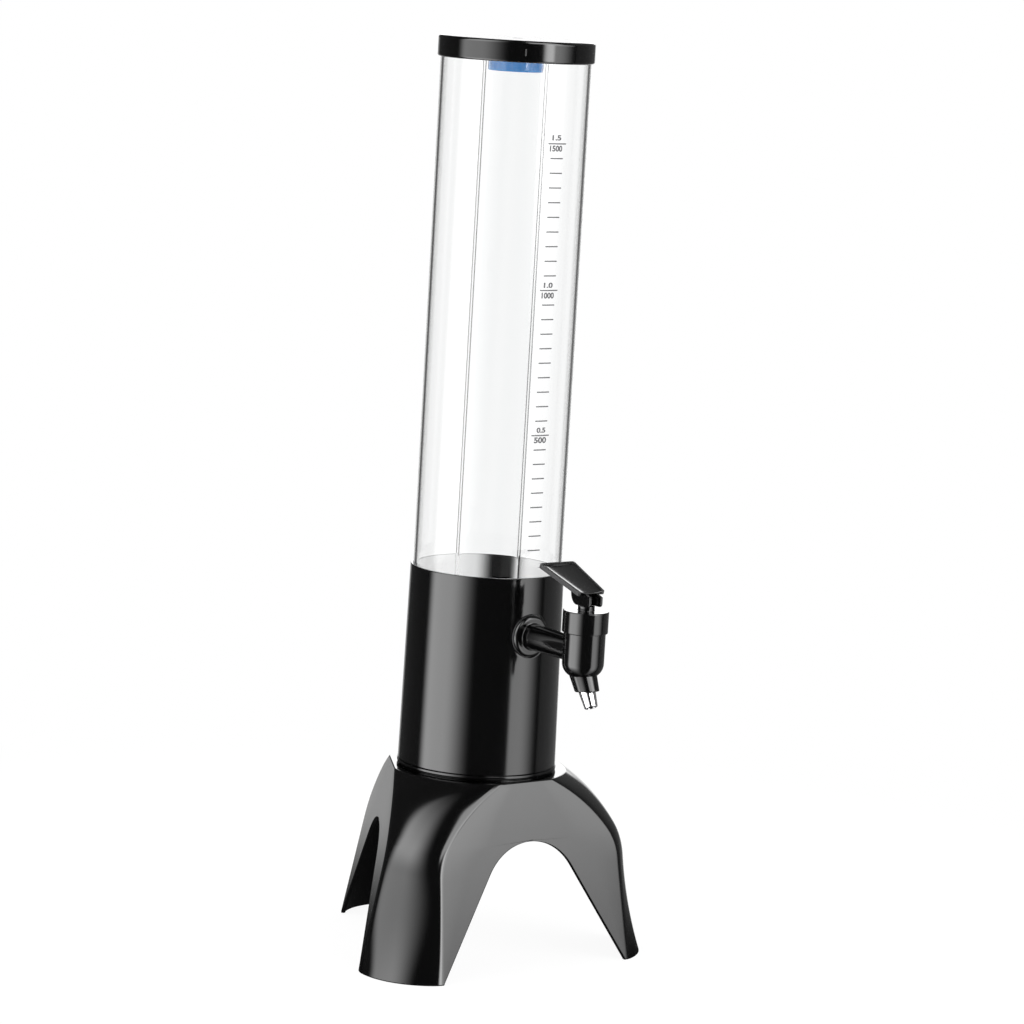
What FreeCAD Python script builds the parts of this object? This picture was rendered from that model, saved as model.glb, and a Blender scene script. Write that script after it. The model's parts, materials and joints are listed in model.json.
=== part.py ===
"""Table-top drink tower: a clear tube over a black tap housing on a three-legged base.

An ice tube hangs in the clear tube from its lid. Millimetres, +Z up. The origin is on the table, under the
tube's axis, and the tap points to -Y.
"""
import FreeCAD, Part
import math
import os

V = FreeCAD.Vector
UP = V(0, 0, 1)
OUT = V(0, -1, 0)

# ---- heights, from the table up
DECK_Z = 113.0            # top of the base's deck, which the collar stands on
COLLAR_HEIGHT = 3.0
HOUSING_HEIGHT = 120.0
TUBE_LENGTH = 328.0
TUBE_ENGAGEMENT = 15.0    # how far the tube sits down in the housing
FLOOR_DROP = 11.0         # the housing's floor lies this far under the tap's axis
TAP_DROP = 35.2           # the tap's axis lies this far under the housing's rim

# ---- clearances
SLIDE_GAP = 0.3           # between pieces that lift apart
RUN_GAP = 0.06            # radial, where one piece turns or slides in another
SCREW_GAP = 0.2           # radial, round a screw's shank in a clearance hole

# ---- container tube and ice tube
TUBE_R = 45.0
TUBE_WALL = 2.2
ICE_R = 19.65
ICE_WALL = 2.0
ICE_END_R = 5.0           # rounding of the ice tube's closed end
ICE_FLOOR_GAP = 4.0       # from the housing's floor to the ice tube's closed end
ICE_TOP_GAP = 2.4         # from the ice tube's mouth up to the lid's underside

# ---- lid and the connector under it
LID_WALL = 1.55
LID_HEIGHT = 12.8
LID_TOP = 2.5
LID_EDGE_R = 2.0
LID_RIM_EDGE = 0.5
LID_OVERLAP = 8.5         # how far the tube reaches up into the lid
LID_SEAL_WIDTH = 3.0
LID_SCREW_R = 1.5
LID_SCREW_HEAD_R = 2.9
LID_SCREW_HEAD_T = 1.4
LID_SCREW_SINK = 0.1      # the screw's head lies this far under the lid's top
LID_SCREW_REACH = 8.0     # from the lid's underside down to the screw's end
CONNECTOR_DROP = 6.6      # how far the connector reaches below the lid's edge
CONNECTOR_ROOF = 3.0
CONNECTOR_EDGE = 0.6
THREAD_DROP = 1.0         # its wider threaded part ends this far above the lid's edge
SKIRT_STEP = 1.15         # its lower part is this much smaller in radius than the ice tube's bore
SKIRT_WALL = 2.0
SCREW_POST_WALL = 2.5

# ---- tap housing
RIM_WALL = 1.6            # from the tube's radius out to the housing's, at the rim
HOUSING_DRAFT = 1.5       # how much wider the housing is at its bottom edge
HOUSING_WALL = 3.0
HOUSING_EDGE = 0.7
SEAL_T = 1.5
SPOT_R = 13.2             # flat round spot face that the tap's flange is drawn up to
SPOT_DEPTH = 1.6          # the spot face lies this far in from the rim's radius
SPOT_T = 4.0              # from the spot face in to the flat pad inside the container
PAD_R = 11.2
POST_R = 4.5
POST_HEIGHT = 14.0
POST_ROOF = 2.0
POST_WEB = 2.0

# ---- base
BASE_WALL = 2.6
PANEL_LEAN = 10.1         # degrees
PANEL_MARGIN = 3.2        # from the collar's bead out to the panels' faces, at the deck
LEG_STAND = 25.6          # at the table, how much further out the leg's chord is than the panel's face
LEG_LEAN = 7.9            # degrees, of the leg's straight lower part
LEG_BEND_DROP = 52.2      # from the deck down to the start of the leg's knee
KNEE_R = 42.0
SHOULDER_R = 120.0
KNEE_END = 37.6           # degrees from upright where the knee runs into the shoulder
FOOT_BULGE = 9.8          # how far the leg's rounded face stands proud of its chord, at the table
WAIST_BULGE = 4.2         # the same, half way up to the deck
TOP_BULGE = 11.7          # and at the deck
ARCH_R = 35.5
ARCH_DROP = 35.6          # from the deck down to the arch's top
ARCH_FOOT = 68.0          # half width of the arch at the table
ARCH_DEPTH = 45.0         # how far in behind the panel's foot the arch is cut
RIB_T = 2.0               # ribs under the deck, from each screw boss out to its leg
RIB_DEPTH = 9.0
SCREW_BOSS_R = 5.2
SCREW_BOSS_DEPTH = 3.0
COLLAR_STEP = 1.3         # the collar's neck is this much smaller in radius than the housing
COLLAR_BEAD_PROUD = 0.4
COLLAR_BEAD_T = 2.2
COLLAR_BEAD_EDGE = 0.9
COLLAR_WIDTH = 15.8
POST_INSET = 7.5          # from the collar's bore out to the ring of screws
SCREW_R = 2.0
SCREW_HEAD_R = 3.9
SCREW_HEAD_T = 2.6
SCREW_HEAD_EDGE = 1.0
SCREW_END_GAP = 1.0

# ---- tap body
TAP_STAND = 53.4          # from the spot face out to the tap's upright axis
BARREL_R = 12.4
BARREL_DROP = 15.4        # from the shank's axis down to the barrel's end
BARREL_RISE = 11.7        # from the shank's axis up to the bonnet's skirt
BARREL_END_R = 9.0
SHANK_R = 7.8
FLANGE_R = 12.4
FLANGE_T = 2.4
TAIL_R = 6.0
FLOW_R = 3.5
CHAMBER_R = 7.5
SEAT_DROP = 8.0           # from the shank's axis down to the valve seat
SEAT_T = 2.5
OUTLET_R = 3.9
GASKET_T = 1.2
GASKET_PROUD = 0.4
INNER_GASKET_R = 10.6
NUT_ACROSS = 19.0
NUT_T = 6.0
TAIL_PROUD = 2.0

# ---- bonnet and valve
BONNET_R = 13.6
BONNET_HEIGHT = 13.1
BONNET_ROOF = 3.0
BONNET_EDGE = 0.6
NECK_WALL = 2.9           # of the barrel's neck, which the bonnet screws onto
NECK_HEIGHT = 6.5
HEEL_R = 5.0
HEEL_HEIGHT = 2.8
HEEL_EDGE = 0.3
STEM_R = 3.0
STEM_SEAL_T = 1.8
STEM_FOOT_R = 2.2
STEM_FOOT_L = 4.5
STEM_SHOULDER_R = 5.4
STEM_SHOULDER_T = 1.0
SPRING_R = 5.6
SPRING_WIRE_R = 0.5
SPRING_TURNS = 5
SPRING_GAP = 0.05
PLUG_R = 5.7
PLUG_T = 6.0
PLUG_GAP = 0.2
PLUG_EDGE = 0.8

# ---- lever and its cam
PIN_R = 1.25
PIN_IN = 0.1              # the pin's ends lie this far in from the cheeks
PIN_RISE = 3.4            # from the pin's axis down to the cam's face, at rest
CAM_GAP = 0.1             # from the cam's face to the bonnet's heel pad
CAM_RATE = 3.8            # stem lift for each radian of lever turn
CAM_SWEEP = 92.0          # degrees of cam face
HEAD_FRONT = 9.1
HEAD_CORNER = 2.0
HEAD_ROOF = 9.0
CHEEK = 1.5
SLOT_GAP = 0.4            # from the stem's eye to the inside of each cheek
PADDLE_LEAN = 18.5        # degrees above level, at rest
PADDLE_CLEAR = 3.95       # from the pin's axis to the paddle's underside
PADDLE_T = 2.7
PADDLE_FRONT = 2.2
PADDLE_BACK = 34.6
PADDLE_HALF_FRONT = 9.7
PADDLE_HALF_BACK = 13.2
PADDLE_CORNER = 2.0
DISH_DEPTH = 1.1
DISH_RIM = 1.6
DISH_LIP = 3.0

# ---- spout
SPOUT_LEAN = 28.5         # degrees from straight down, away from the tower
SPOUT_SINK = 3.0          # the spout's axis starts this far up inside the barrel's end
SPOUT_R = 8.1
SPOUT_END_R = 7.1
SPOUT_L = 8.8
SPOUT_CUT = 9.0           # degrees, the lean of the plane that the spout ends on
TIP_R = 5.0
TIP_END_R = 3.9
TIP_L = 10.0
TIP_WALL = 1.0
TIP_SINK = 4.0            # how far the tip is pressed up into the spout

# ---- what follows from them
HOUSING_Z = DECK_Z + COLLAR_HEIGHT
RIM_Z = HOUSING_Z + HOUSING_HEIGHT
TAP_Z = RIM_Z - TAP_DROP
FLOOR_Z = TAP_Z - FLOOR_DROP
TUBE_Z = RIM_Z - TUBE_ENGAGEMENT
TUBE_TOP_Z = TUBE_Z + TUBE_LENGTH
TUBE_BORE_R = TUBE_R - TUBE_WALL
LID_Z = TUBE_TOP_Z - LID_OVERLAP
LID_TOP_Z = LID_Z + LID_HEIGHT
LID_UNDER_Z = LID_TOP_Z - LID_TOP
LID_R = TUBE_R + SLIDE_GAP + LID_WALL
LID_SINK_Z = LID_TOP_Z - LID_SCREW_HEAD_T
ICE_BORE_R = ICE_R - ICE_WALL
ICE_Z = FLOOR_Z + ICE_FLOOR_GAP
ICE_TOP_Z = LID_UNDER_Z - ICE_TOP_GAP
HOUSING_R_TOP = TUBE_R + RIM_WALL
HOUSING_R_BOTTOM = HOUSING_R_TOP + HOUSING_DRAFT
SPOT_Y = HOUSING_R_TOP - SPOT_DEPTH
INNER_FACE_Y = SPOT_Y - SPOT_T
TAP_REACH = SPOT_Y + TAP_STAND
NUT_Y = INNER_FACE_Y - GASKET_T - NUT_T
TAIL_Y = NUT_Y - TAIL_PROUD
COLLAR_NECK_R = HOUSING_R_BOTTOM - COLLAR_STEP
COLLAR_BEAD_R = HOUSING_R_BOTTOM + COLLAR_BEAD_PROUD
COLLAR_BORE_R = COLLAR_NECK_R - COLLAR_WIDTH
POST_PITCH_R = COLLAR_BORE_R + POST_INSET
DECK_UNDER_Z = DECK_Z - BASE_WALL
LEAN = math.radians(PANEL_LEAN)
PANEL_FOOT = COLLAR_BEAD_R + PANEL_MARGIN + DECK_Z * math.tan(LEAN)
LEG_FOOT = PANEL_FOOT + LEG_STAND
LEG_BEND_Z = DECK_Z - LEG_BEND_DROP
ARCH_TOP_Z = DECK_Z - ARCH_DROP
SEAT_Z = TAP_Z - SEAT_DROP
PLUG_Z = SEAT_Z + PLUG_GAP
PLUG_TOP_Z = PLUG_Z + PLUG_T
BARREL_Z = TAP_Z - BARREL_DROP
NECK_R = CHAMBER_R + NECK_WALL
BONNET_Z = TAP_Z + BARREL_RISE
BONNET_TOP_Z = BONNET_Z + BONNET_HEIGHT
BONNET_UNDER_Z = BONNET_TOP_Z - BONNET_ROOF
HEEL_Z = BONNET_TOP_Z + HEEL_HEIGHT
PIN_Z = HEEL_Z + PIN_RISE + CAM_GAP
SLOT_HALF = STEM_R + SLOT_GAP
HEAD_HALF = SLOT_HALF + CHEEK
SCREW_PLACES = [(POST_PITCH_R * math.cos(math.radians(a)), POST_PITCH_R * math.sin(math.radians(a)))
                for a in (90, 210, 330)]


def cylinder(radius, z_low, z_high, x=0.0, y=0.0):
    return Part.makeCylinder(radius, z_high - z_low, V(x, y, z_low), UP)


def tube(outer, inner, z_low, z_high, x=0.0, y=0.0):
    return cylinder(outer, z_low, z_high, x, y).cut(cylinder(inner, z_low, z_high, x, y))


def along_y(radius, y_near, y_far):
    """A round bar on the tap's shank axis, from y_near out to y_far (both measured towards the tap)."""
    return Part.makeCylinder(radius, y_far - y_near, V(0, -y_near, TAP_Z), OUT)


def ring_of(profile, x=0.0, y=0.0):
    """Revolve a closed list of (radius, z) corners about an upright axis."""
    face = Part.Face(Part.makePolygon([V(r, 0, z) for r, z in profile + profile[:1]]))
    solid = face.revolve(V(0, 0, 0), UP, 360)
    solid.translate(V(x, y, 0))
    return solid


def turned(shape, degrees):
    copy = shape.copy()
    copy.rotate(V(0, 0, 0), UP, degrees)
    return copy


def edges_at(shape, z, radius=None):
    """Round edges lying level at height z, of the given radius if there is one."""
    near = 0.01
    found = []
    for edge in shape.Edges:
        level = abs(edge.BoundBox.ZMin - z) < near and abs(edge.BoundBox.ZMax - z) < near
        if not level or not isinstance(edge.Curve, Part.Circle):
            continue
        if radius is None or abs(edge.Curve.Radius - radius) < near:
            found.append(edge)
    return found


# ---------------------------------------------------------------- base
def panel_distance(z, inset=0.0):
    """From the tower's axis to a leaning flat panel, at height z."""
    return PANEL_FOOT - z * math.tan(LEAN) - inset / math.cos(LEAN)


def leg_chord(z, inset=0.0):
    """From the axis to a leg's face at height z: a leaning straight, a tight knee, then a wide shoulder."""
    lean, knee = math.radians(LEG_LEAN), math.radians(KNEE_END)
    bend_x = LEG_FOOT - LEG_BEND_Z * math.tan(lean)
    knee_x = bend_x - KNEE_R * math.cos(lean)
    knee_z = LEG_BEND_Z - KNEE_R * math.sin(lean)
    shoulder_x = knee_x + (KNEE_R - SHOULDER_R) * math.cos(knee)
    shoulder_z = knee_z + (KNEE_R - SHOULDER_R) * math.sin(knee)
    if z <= knee_z + (KNEE_R - inset) * math.sin(lean):
        return LEG_FOOT - z * math.tan(lean) - inset / math.cos(lean)
    if z <= knee_z + (KNEE_R - inset) * math.sin(knee):
        return knee_x + math.sqrt((KNEE_R - inset) ** 2 - (z - knee_z) ** 2)
    return shoulder_x + math.sqrt((SHOULDER_R - inset) ** 2 - (z - shoulder_z) ** 2)


def half_space(z_high, inset=0.0):
    """The triangle between the three leaning panels, as a solid from under the table up to z_high."""
    reach, low = 400.0, -20.0
    near, far = -panel_distance(low, inset), -panel_distance(z_high, inset)
    corners = [V(-reach, near, low), V(reach, near, low), V(reach, far, z_high), V(-reach, far, z_high)]
    wedge = Part.Face(Part.makePolygon(corners + corners[:1])).extrude(V(0, reach, 0))
    solid = wedge
    for number in (1, 2):
        solid = solid.common(turned(wedge, 120 * number))
    return solid


def bulge(z):
    """How far a leg's rounded face stands proud of its chord: a parabola through foot, waist and top."""
    share = z / DECK_Z
    foot = FOOT_BULGE * (1 - share) * (1 - 2 * share)
    waist = 4 * WAIST_BULGE * share * (1 - share)
    return foot + waist + TOP_BULGE * share * (2 * share - 1)


def leg_section(z, inset=0.0):
    """A level section of all that lies behind one leg's rounded face. The leg points to +X."""
    reach = 200.0
    rise = bulge(z)
    half = (panel_distance(z) - leg_chord(z) / 2) / math.sin(math.radians(60))
    radius = (half * half + rise * rise) / (2 * rise)
    front = leg_chord(z, inset) + rise
    end = half + 2.0
    end_x = front - radius + math.sqrt(radius * radius - end * end)
    arc = Part.Arc(V(end_x, -end, z), V(front, 0, z), V(end_x, end, z)).toShape()
    corners = [V(end_x, end, z), V(end_x, reach, z), V(-reach, reach, z), V(-reach, -reach, z),
               V(end_x, -reach, z), V(end_x, -end, z)]
    return Part.Wire([arc] + [Part.makeLine(a, b) for a, b in zip(corners, corners[1:])])


def leg_block(inset=0.0):
    """Everything behind one leg's face, as a big solid that the panels trim. It bends most in the middle."""
    shares = (-0.05, 0.1, 0.2, 0.3, 0.4, 0.5, 0.54, 0.58, 0.62, 0.66, 0.7, 0.75, 0.8, 0.85, 0.9, 0.95, 1.01)
    return Part.makeLoft([leg_section(DECK_Z * share, inset) for share in shares], True, True)


def base_form(z_high, inset=0.0):
    """The base's outside, or its inside when set in by the wall."""
    form = half_space(z_high, inset)
    leg = leg_block(inset)
    for number in range(3):
        form = form.common(turned(leg, 90 + 120 * number))
    return form.common(cylinder(250.0, 0, z_high))


def arch_cutter():
    """The opening in a flat panel: a round top running into straight sloping sides."""
    centre_z = ARCH_TOP_Z - ARCH_R
    reach = math.hypot(ARCH_FOOT, centre_z)
    slope = math.acos(ARCH_R / reach) - math.atan2(centre_z, ARCH_FOOT)
    touch_x, touch_z = ARCH_R * math.cos(slope), centre_z + ARCH_R * math.sin(slope)
    low = -5.0
    foot_x = ARCH_FOOT - low * math.tan(slope)
    y = -PANEL_FOOT - 30.0
    left = Part.makeLine(V(-foot_x, y, low), V(-touch_x, y, touch_z))
    top = Part.Arc(V(-touch_x, y, touch_z), V(0, y, ARCH_TOP_Z), V(touch_x, y, touch_z)).toShape()
    right = Part.makeLine(V(touch_x, y, touch_z), V(foot_x, y, low))
    floor = Part.makeLine(V(foot_x, y, low), V(-foot_x, y, low))
    return Part.Face(Part.Wire([left, top, right, floor])).extrude(V(0, ARCH_DEPTH + 30.0, 0))


def deck_ribs():
    """Screw bosses and ribs on the underside of the deck, one of each towards every leg."""
    rib_low, boss_low = DECK_UNDER_Z - RIB_DEPTH, DECK_UNDER_Z - SCREW_BOSS_DEPTH
    start = POST_PITCH_R + SCREW_HEAD_R + 1.0
    rib = Part.makeBox(LEG_FOOT, RIB_T, RIB_DEPTH + 1, V(start, -RIB_T / 2, rib_low))
    group = []
    for x, y in SCREW_PLACES:
        group.append(tube(SCREW_BOSS_R + 1.2, SCREW_BOSS_R, boss_low, DECK_UNDER_Z + 1, x, y))
        group.append(turned(rib, math.degrees(math.atan2(y, x))))
    return group


def tripod_base():
    """A moulded shell: three leaning panels with arches, three rounded legs and a flat deck."""
    form = base_form(DECK_Z)
    shell = form.cut(base_form(DECK_UNDER_Z, BASE_WALL))
    shell = shell.fuse([rib.common(form) for rib in deck_ribs()]).removeSplitter()
    for number in range(3):
        shell = shell.cut(turned(arch_cutter(), 120 * number))
    for x, y in SCREW_PLACES:
        shell = shell.cut(cylinder(SCREW_R + SCREW_GAP, DECK_UNDER_Z - 1, DECK_Z + 1, x, y))
    return shell


def base_collar():
    """The hub ring between the base's deck and the housing, with a bevelled bead under the housing's edge."""
    bead_z = HOUSING_Z - COLLAR_BEAD_T
    ring = tube(COLLAR_NECK_R, COLLAR_BORE_R, DECK_Z, HOUSING_Z)
    bead = tube(COLLAR_BEAD_R, COLLAR_BORE_R, bead_z, HOUSING_Z)
    bead = bead.makeChamfer(COLLAR_BEAD_EDGE, edges_at(bead, bead_z, COLLAR_BEAD_R))
    ring = ring.fuse(bead).removeSplitter()
    for x, y in SCREW_PLACES:
        ring = ring.cut(cylinder(SCREW_R + SCREW_GAP, DECK_Z - 1, HOUSING_Z + 1, x, y))
    return ring


def base_screws():
    """Three pan-head screws, up through the deck and the collar into the housing's posts."""
    group = []
    head_z = DECK_UNDER_Z - SCREW_HEAD_T
    end_z = HOUSING_Z + POST_HEIGHT - POST_ROOF - SCREW_END_GAP
    for x, y in SCREW_PLACES:
        head = cylinder(SCREW_HEAD_R, head_z, DECK_UNDER_Z, x, y)
        head = head.makeChamfer(SCREW_HEAD_EDGE, edges_at(head, head_z))
        group.append(head.fuse(cylinder(SCREW_R, DECK_UNDER_Z, end_z, x, y)).removeSplitter())
    return Part.makeCompound(group)


# ---------------------------------------------------------------- housing and tube
def housing_r(z):
    """The housing's drafted outer radius at height z."""
    return HOUSING_R_BOTTOM - HOUSING_DRAFT * (z - HOUSING_Z) / HOUSING_HEIGHT


def skirt_space():
    """The hollow under the housing's floor, less its three screw posts and their webs."""
    roof_z = FLOOR_Z - HOUSING_WALL
    low_r, high_r = housing_r(HOUSING_Z) - HOUSING_WALL, housing_r(roof_z) - HOUSING_WALL
    space = ring_of([(0, HOUSING_Z - 1), (low_r, HOUSING_Z - 1), (high_r, roof_z), (0, roof_z)])
    web_length = low_r - POST_PITCH_R + 1
    web = Part.makeBox(web_length, POST_WEB, POST_HEIGHT, V(POST_PITCH_R, -POST_WEB / 2, HOUSING_Z))
    for x, y in SCREW_PLACES:
        space = space.cut(cylinder(POST_R, HOUSING_Z, HOUSING_Z + POST_HEIGHT, x, y))
        space = space.cut(turned(web, math.degrees(math.atan2(y, x))))
    return space


def housing():
    """The tap housing: a deep cup that holds the tube, over a hollow skirt with three screw posts."""
    ledge_z = TUBE_Z - SEAL_T
    outside = [(0, HOUSING_Z), (HOUSING_R_BOTTOM - HOUSING_EDGE, HOUSING_Z),
               (HOUSING_R_BOTTOM, HOUSING_Z + HOUSING_EDGE), (HOUSING_R_TOP, RIM_Z - HOUSING_EDGE / 2),
               (HOUSING_R_TOP - HOUSING_EDGE / 2, RIM_Z), (0, RIM_Z)]
    body = ring_of(outside).cut(along_y(SPOT_R, SPOT_Y, HOUSING_R_BOTTOM + 1))
    cup = cylinder(TUBE_R + RUN_GAP, ledge_z, RIM_Z + 1).fuse(cylinder(TUBE_BORE_R, FLOOR_Z, ledge_z))
    body = body.cut(cup.cut(along_y(PAD_R, INNER_FACE_Y, SPOT_Y))).cut(skirt_space())
    for x, y in SCREW_PLACES:
        body = body.cut(cylinder(SCREW_R, HOUSING_Z - 1, HOUSING_Z + POST_HEIGHT - POST_ROOF, x, y))
    return body.cut(along_y(TAIL_R + RUN_GAP, INNER_FACE_Y - 3, SPOT_Y + 3))


def tube_seal():
    return tube(TUBE_R - RUN_GAP, TUBE_BORE_R, TUBE_Z - SEAL_T, TUBE_Z)


def container_tube():
    return tube(TUBE_R, TUBE_BORE_R, TUBE_Z, TUBE_TOP_Z)


# ---------------------------------------------------------------- lid and ice tube
def lid():
    """A flat round cap with a short skirt over the tube's end."""
    hole_r = LID_SCREW_R + SCREW_GAP
    body = cylinder(LID_R, LID_Z, LID_TOP_Z)
    body = body.makeFillet(LID_EDGE_R, edges_at(body, LID_TOP_Z))
    body = body.makeChamfer(LID_RIM_EDGE, edges_at(body, LID_Z, LID_R))
    body = body.cut(cylinder(TUBE_R + SLIDE_GAP, LID_Z - 1, LID_UNDER_Z))
    body = body.cut(cylinder(hole_r, LID_UNDER_Z - 1, LID_TOP_Z + 1))
    return body.cut(ring_of([(0, LID_SINK_Z), (hole_r, LID_SINK_Z), (LID_SCREW_HEAD_R + SCREW_GAP, LID_TOP_Z),
                             (0, LID_TOP_Z)]))


def lid_seal():
    """A flat ring under the lid's top, over the tube's mouth."""
    return tube(TUBE_R, TUBE_R - LID_SEAL_WIDTH, TUBE_TOP_Z + SLIDE_GAP, LID_UNDER_Z)


def ice_tube_connector():
    """The plug that the ice tube screws onto: a wide threaded part under the lid and a narrower skirt."""
    skirt_r = ICE_BORE_R - SKIRT_STEP
    thread_z = LID_Z + THREAD_DROP
    low_z = LID_Z - CONNECTOR_DROP
    roof_z = LID_UNDER_Z - CONNECTOR_ROOF
    thread = cylinder(ICE_BORE_R - RUN_GAP, thread_z, LID_UNDER_Z)
    body = thread.fuse(cylinder(skirt_r, low_z, thread_z)).removeSplitter()
    body = body.makeChamfer(CONNECTOR_EDGE, edges_at(body, low_z, skirt_r))
    body = body.cut(cylinder(skirt_r - SKIRT_WALL, low_z - 1, roof_z))
    post = cylinder(LID_SCREW_R + SCREW_POST_WALL, LID_UNDER_Z - LID_SCREW_REACH - 1, roof_z)
    return body.fuse(post).removeSplitter().cut(cylinder(LID_SCREW_R, low_z - 1, LID_UNDER_Z + 1))


def lid_screw():
    """The countersunk screw through the lid's middle into the connector."""
    top_z = LID_TOP_Z - LID_SCREW_SINK
    head = ring_of([(0, LID_SINK_Z), (LID_SCREW_R, LID_SINK_Z), (LID_SCREW_HEAD_R, top_z), (0, top_z)])
    return head.fuse(cylinder(LID_SCREW_R, LID_UNDER_Z - LID_SCREW_REACH, LID_SINK_Z)).removeSplitter()


def connector_seal():
    """A flat ring on the connector, between the lid and the ice tube's mouth."""
    return tube(ICE_R - SLIDE_GAP, ICE_BORE_R - RUN_GAP, ICE_TOP_Z + SLIDE_GAP, LID_UNDER_Z)


def ice_tube():
    """A clear tube with a closed, rounded lower end and an open mouth that turns on the connector."""
    inside_z = ICE_Z + ICE_WALL
    outer = cylinder(ICE_R, ICE_Z, ICE_TOP_Z)
    outer = outer.makeFillet(ICE_END_R, edges_at(outer, ICE_Z))
    inner = cylinder(ICE_BORE_R, inside_z, ICE_TOP_Z + 1)
    inner = inner.makeFillet(ICE_END_R - ICE_WALL, edges_at(inner, inside_z))
    return outer.cut(inner)


# ---------------------------------------------------------------- tap
def spout_frame(shape, start):
    """Lean a shape built along -Z away from the tower, and put its start that far along the spout's axis."""
    lean = math.radians(SPOUT_LEAN)
    shape.rotate(V(0, 0, 0), V(1, 0, 0), -SPOUT_LEAN)
    shape.translate(V(0, -TAP_REACH - start * math.sin(lean), BARREL_Z + SPOUT_SINK - start * math.cos(lean)))
    return shape


def on_tap(radius, z_low, z_high):
    """An upright cylinder on the tap's own axis."""
    return cylinder(radius, z_low, z_high, 0, -TAP_REACH)


def barrel_form():
    """The barrel's outside, with its rounded lower end."""
    barrel = on_tap(BARREL_R, BARREL_Z, BONNET_Z)
    return barrel.makeFillet(BARREL_END_R, edges_at(barrel, BARREL_Z))


def tap_body():
    """The barrel with its valve chamber, the shank, the flange and the threaded tail, in one moulding."""
    flange_y = SPOT_Y + GASKET_T
    neck_z = BONNET_Z + NECK_HEIGHT
    neck = on_tap(NECK_R, BONNET_Z, neck_z)
    flange = along_y(FLANGE_R, flange_y, flange_y + FLANGE_T)
    shank = along_y(SHANK_R, flange_y, TAP_REACH)
    tail = along_y(TAIL_R, TAIL_Y, flange_y)
    body = barrel_form().fuse([neck, flange, shank, tail]).removeSplitter()
    chamber = on_tap(CHAMBER_R, SEAT_Z, neck_z + 1)
    seat_hole = on_tap(OUTLET_R, SEAT_Z - SEAT_T, SEAT_Z + 1)
    outlet = spout_frame(Part.makeCylinder(OUTLET_R, 40, V(0, 0, -20), UP), 0.0)
    outlet = outlet.common(on_tap(60, SEAT_Z - 60, SEAT_Z))
    return body.cut([chamber, outlet, seat_hole, along_y(FLOW_R, TAIL_Y - 1, TAP_REACH)])


def outer_gasket():
    """The soft ring between the housing's spot face and the tap's flange."""
    ring = along_y(FLANGE_R + GASKET_PROUD, SPOT_Y, SPOT_Y + GASKET_T)
    return ring.cut(along_y(TAIL_R + RUN_GAP, SPOT_Y - 1, SPOT_Y + GASKET_T + 1))


def inner_gasket():
    """The soft ring inside the container, under the lock nut."""
    ring = along_y(INNER_GASKET_R, INNER_FACE_Y - GASKET_T, INNER_FACE_Y)
    return ring.cut(along_y(TAIL_R + RUN_GAP, NUT_Y, INNER_FACE_Y + 1))


def lock_nut():
    """The hexagonal nut that draws the tap up to the housing's wall."""
    corner = NUT_ACROSS / 2 / math.cos(math.radians(30))
    turns = [math.radians(60 * number) for number in range(7)]
    points = [V(corner * math.cos(a), -NUT_Y, TAP_Z + corner * math.sin(a)) for a in turns]
    nut = Part.Face(Part.makePolygon(points)).extrude(V(0, -NUT_T, 0))
    return nut.cut(along_y(TAIL_R, NUT_Y - 1, INNER_FACE_Y))


def tap_bonnet():
    """The screwed cap over the valve chamber, with the heel pad that the lever's cam bears on."""
    body = on_tap(BONNET_R, BONNET_Z, BONNET_TOP_Z)
    body = body.makeChamfer(BONNET_EDGE, edges_at(body, BONNET_TOP_Z) + edges_at(body, BONNET_Z))
    heel = on_tap(HEEL_R, BONNET_TOP_Z - 1, HEEL_Z)
    body = body.fuse(heel.makeChamfer(HEEL_EDGE, edges_at(heel, HEEL_Z))).removeSplitter()
    body = body.cut(on_tap(NECK_R + RUN_GAP, BONNET_Z - 1, BONNET_Z + NECK_HEIGHT))
    body = body.cut(on_tap(CHAMBER_R, BONNET_Z, BONNET_UNDER_Z))
    return body.cut(on_tap(STEM_R + RUN_GAP, BONNET_Z, HEEL_Z + 1))


def stem_seal():
    """A small ring round the stem, under the bonnet's top."""
    low = BONNET_UNDER_Z - STEM_SEAL_T
    return tube(CHAMBER_R - RUN_GAP, STEM_R + SLIDE_GAP, low, BONNET_UNDER_Z, 0, -TAP_REACH)


def valve_plug():
    """The soft cup on the stem's foot that shuts the seat."""
    cup = on_tap(PLUG_R, PLUG_Z, PLUG_TOP_Z)
    cup = cup.makeChamfer(PLUG_EDGE, edges_at(cup, PLUG_TOP_Z) + edges_at(cup, PLUG_Z))
    return cup.cut(on_tap(STEM_FOOT_R, PLUG_TOP_Z - STEM_FOOT_L, PLUG_TOP_Z + 1))


def valve_stem():
    """The rod from the plug up through the bonnet to the lever's pin, with a rounded eye at its top."""
    rod = on_tap(STEM_R, PLUG_TOP_Z, PIN_Z)
    foot = on_tap(STEM_FOOT_R, PLUG_TOP_Z - STEM_FOOT_L, PLUG_TOP_Z)
    shoulder = on_tap(STEM_SHOULDER_R, PLUG_TOP_Z, PLUG_TOP_Z + STEM_SHOULDER_T)
    eye = Part.makeCylinder(STEM_R, 2 * STEM_R, V(-STEM_R, -TAP_REACH, PIN_Z), V(1, 0, 0))
    eye = eye.common(on_tap(STEM_R, PIN_Z - STEM_R, PIN_Z + STEM_R))
    rod = rod.fuse([foot, eye, shoulder]).removeSplitter()
    pin_hole = Part.makeCylinder(PIN_R + RUN_GAP, 4 * STEM_R, V(-2 * STEM_R, -TAP_REACH, PIN_Z), V(1, 0, 0))
    return rod.cut(pin_hole)


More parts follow.
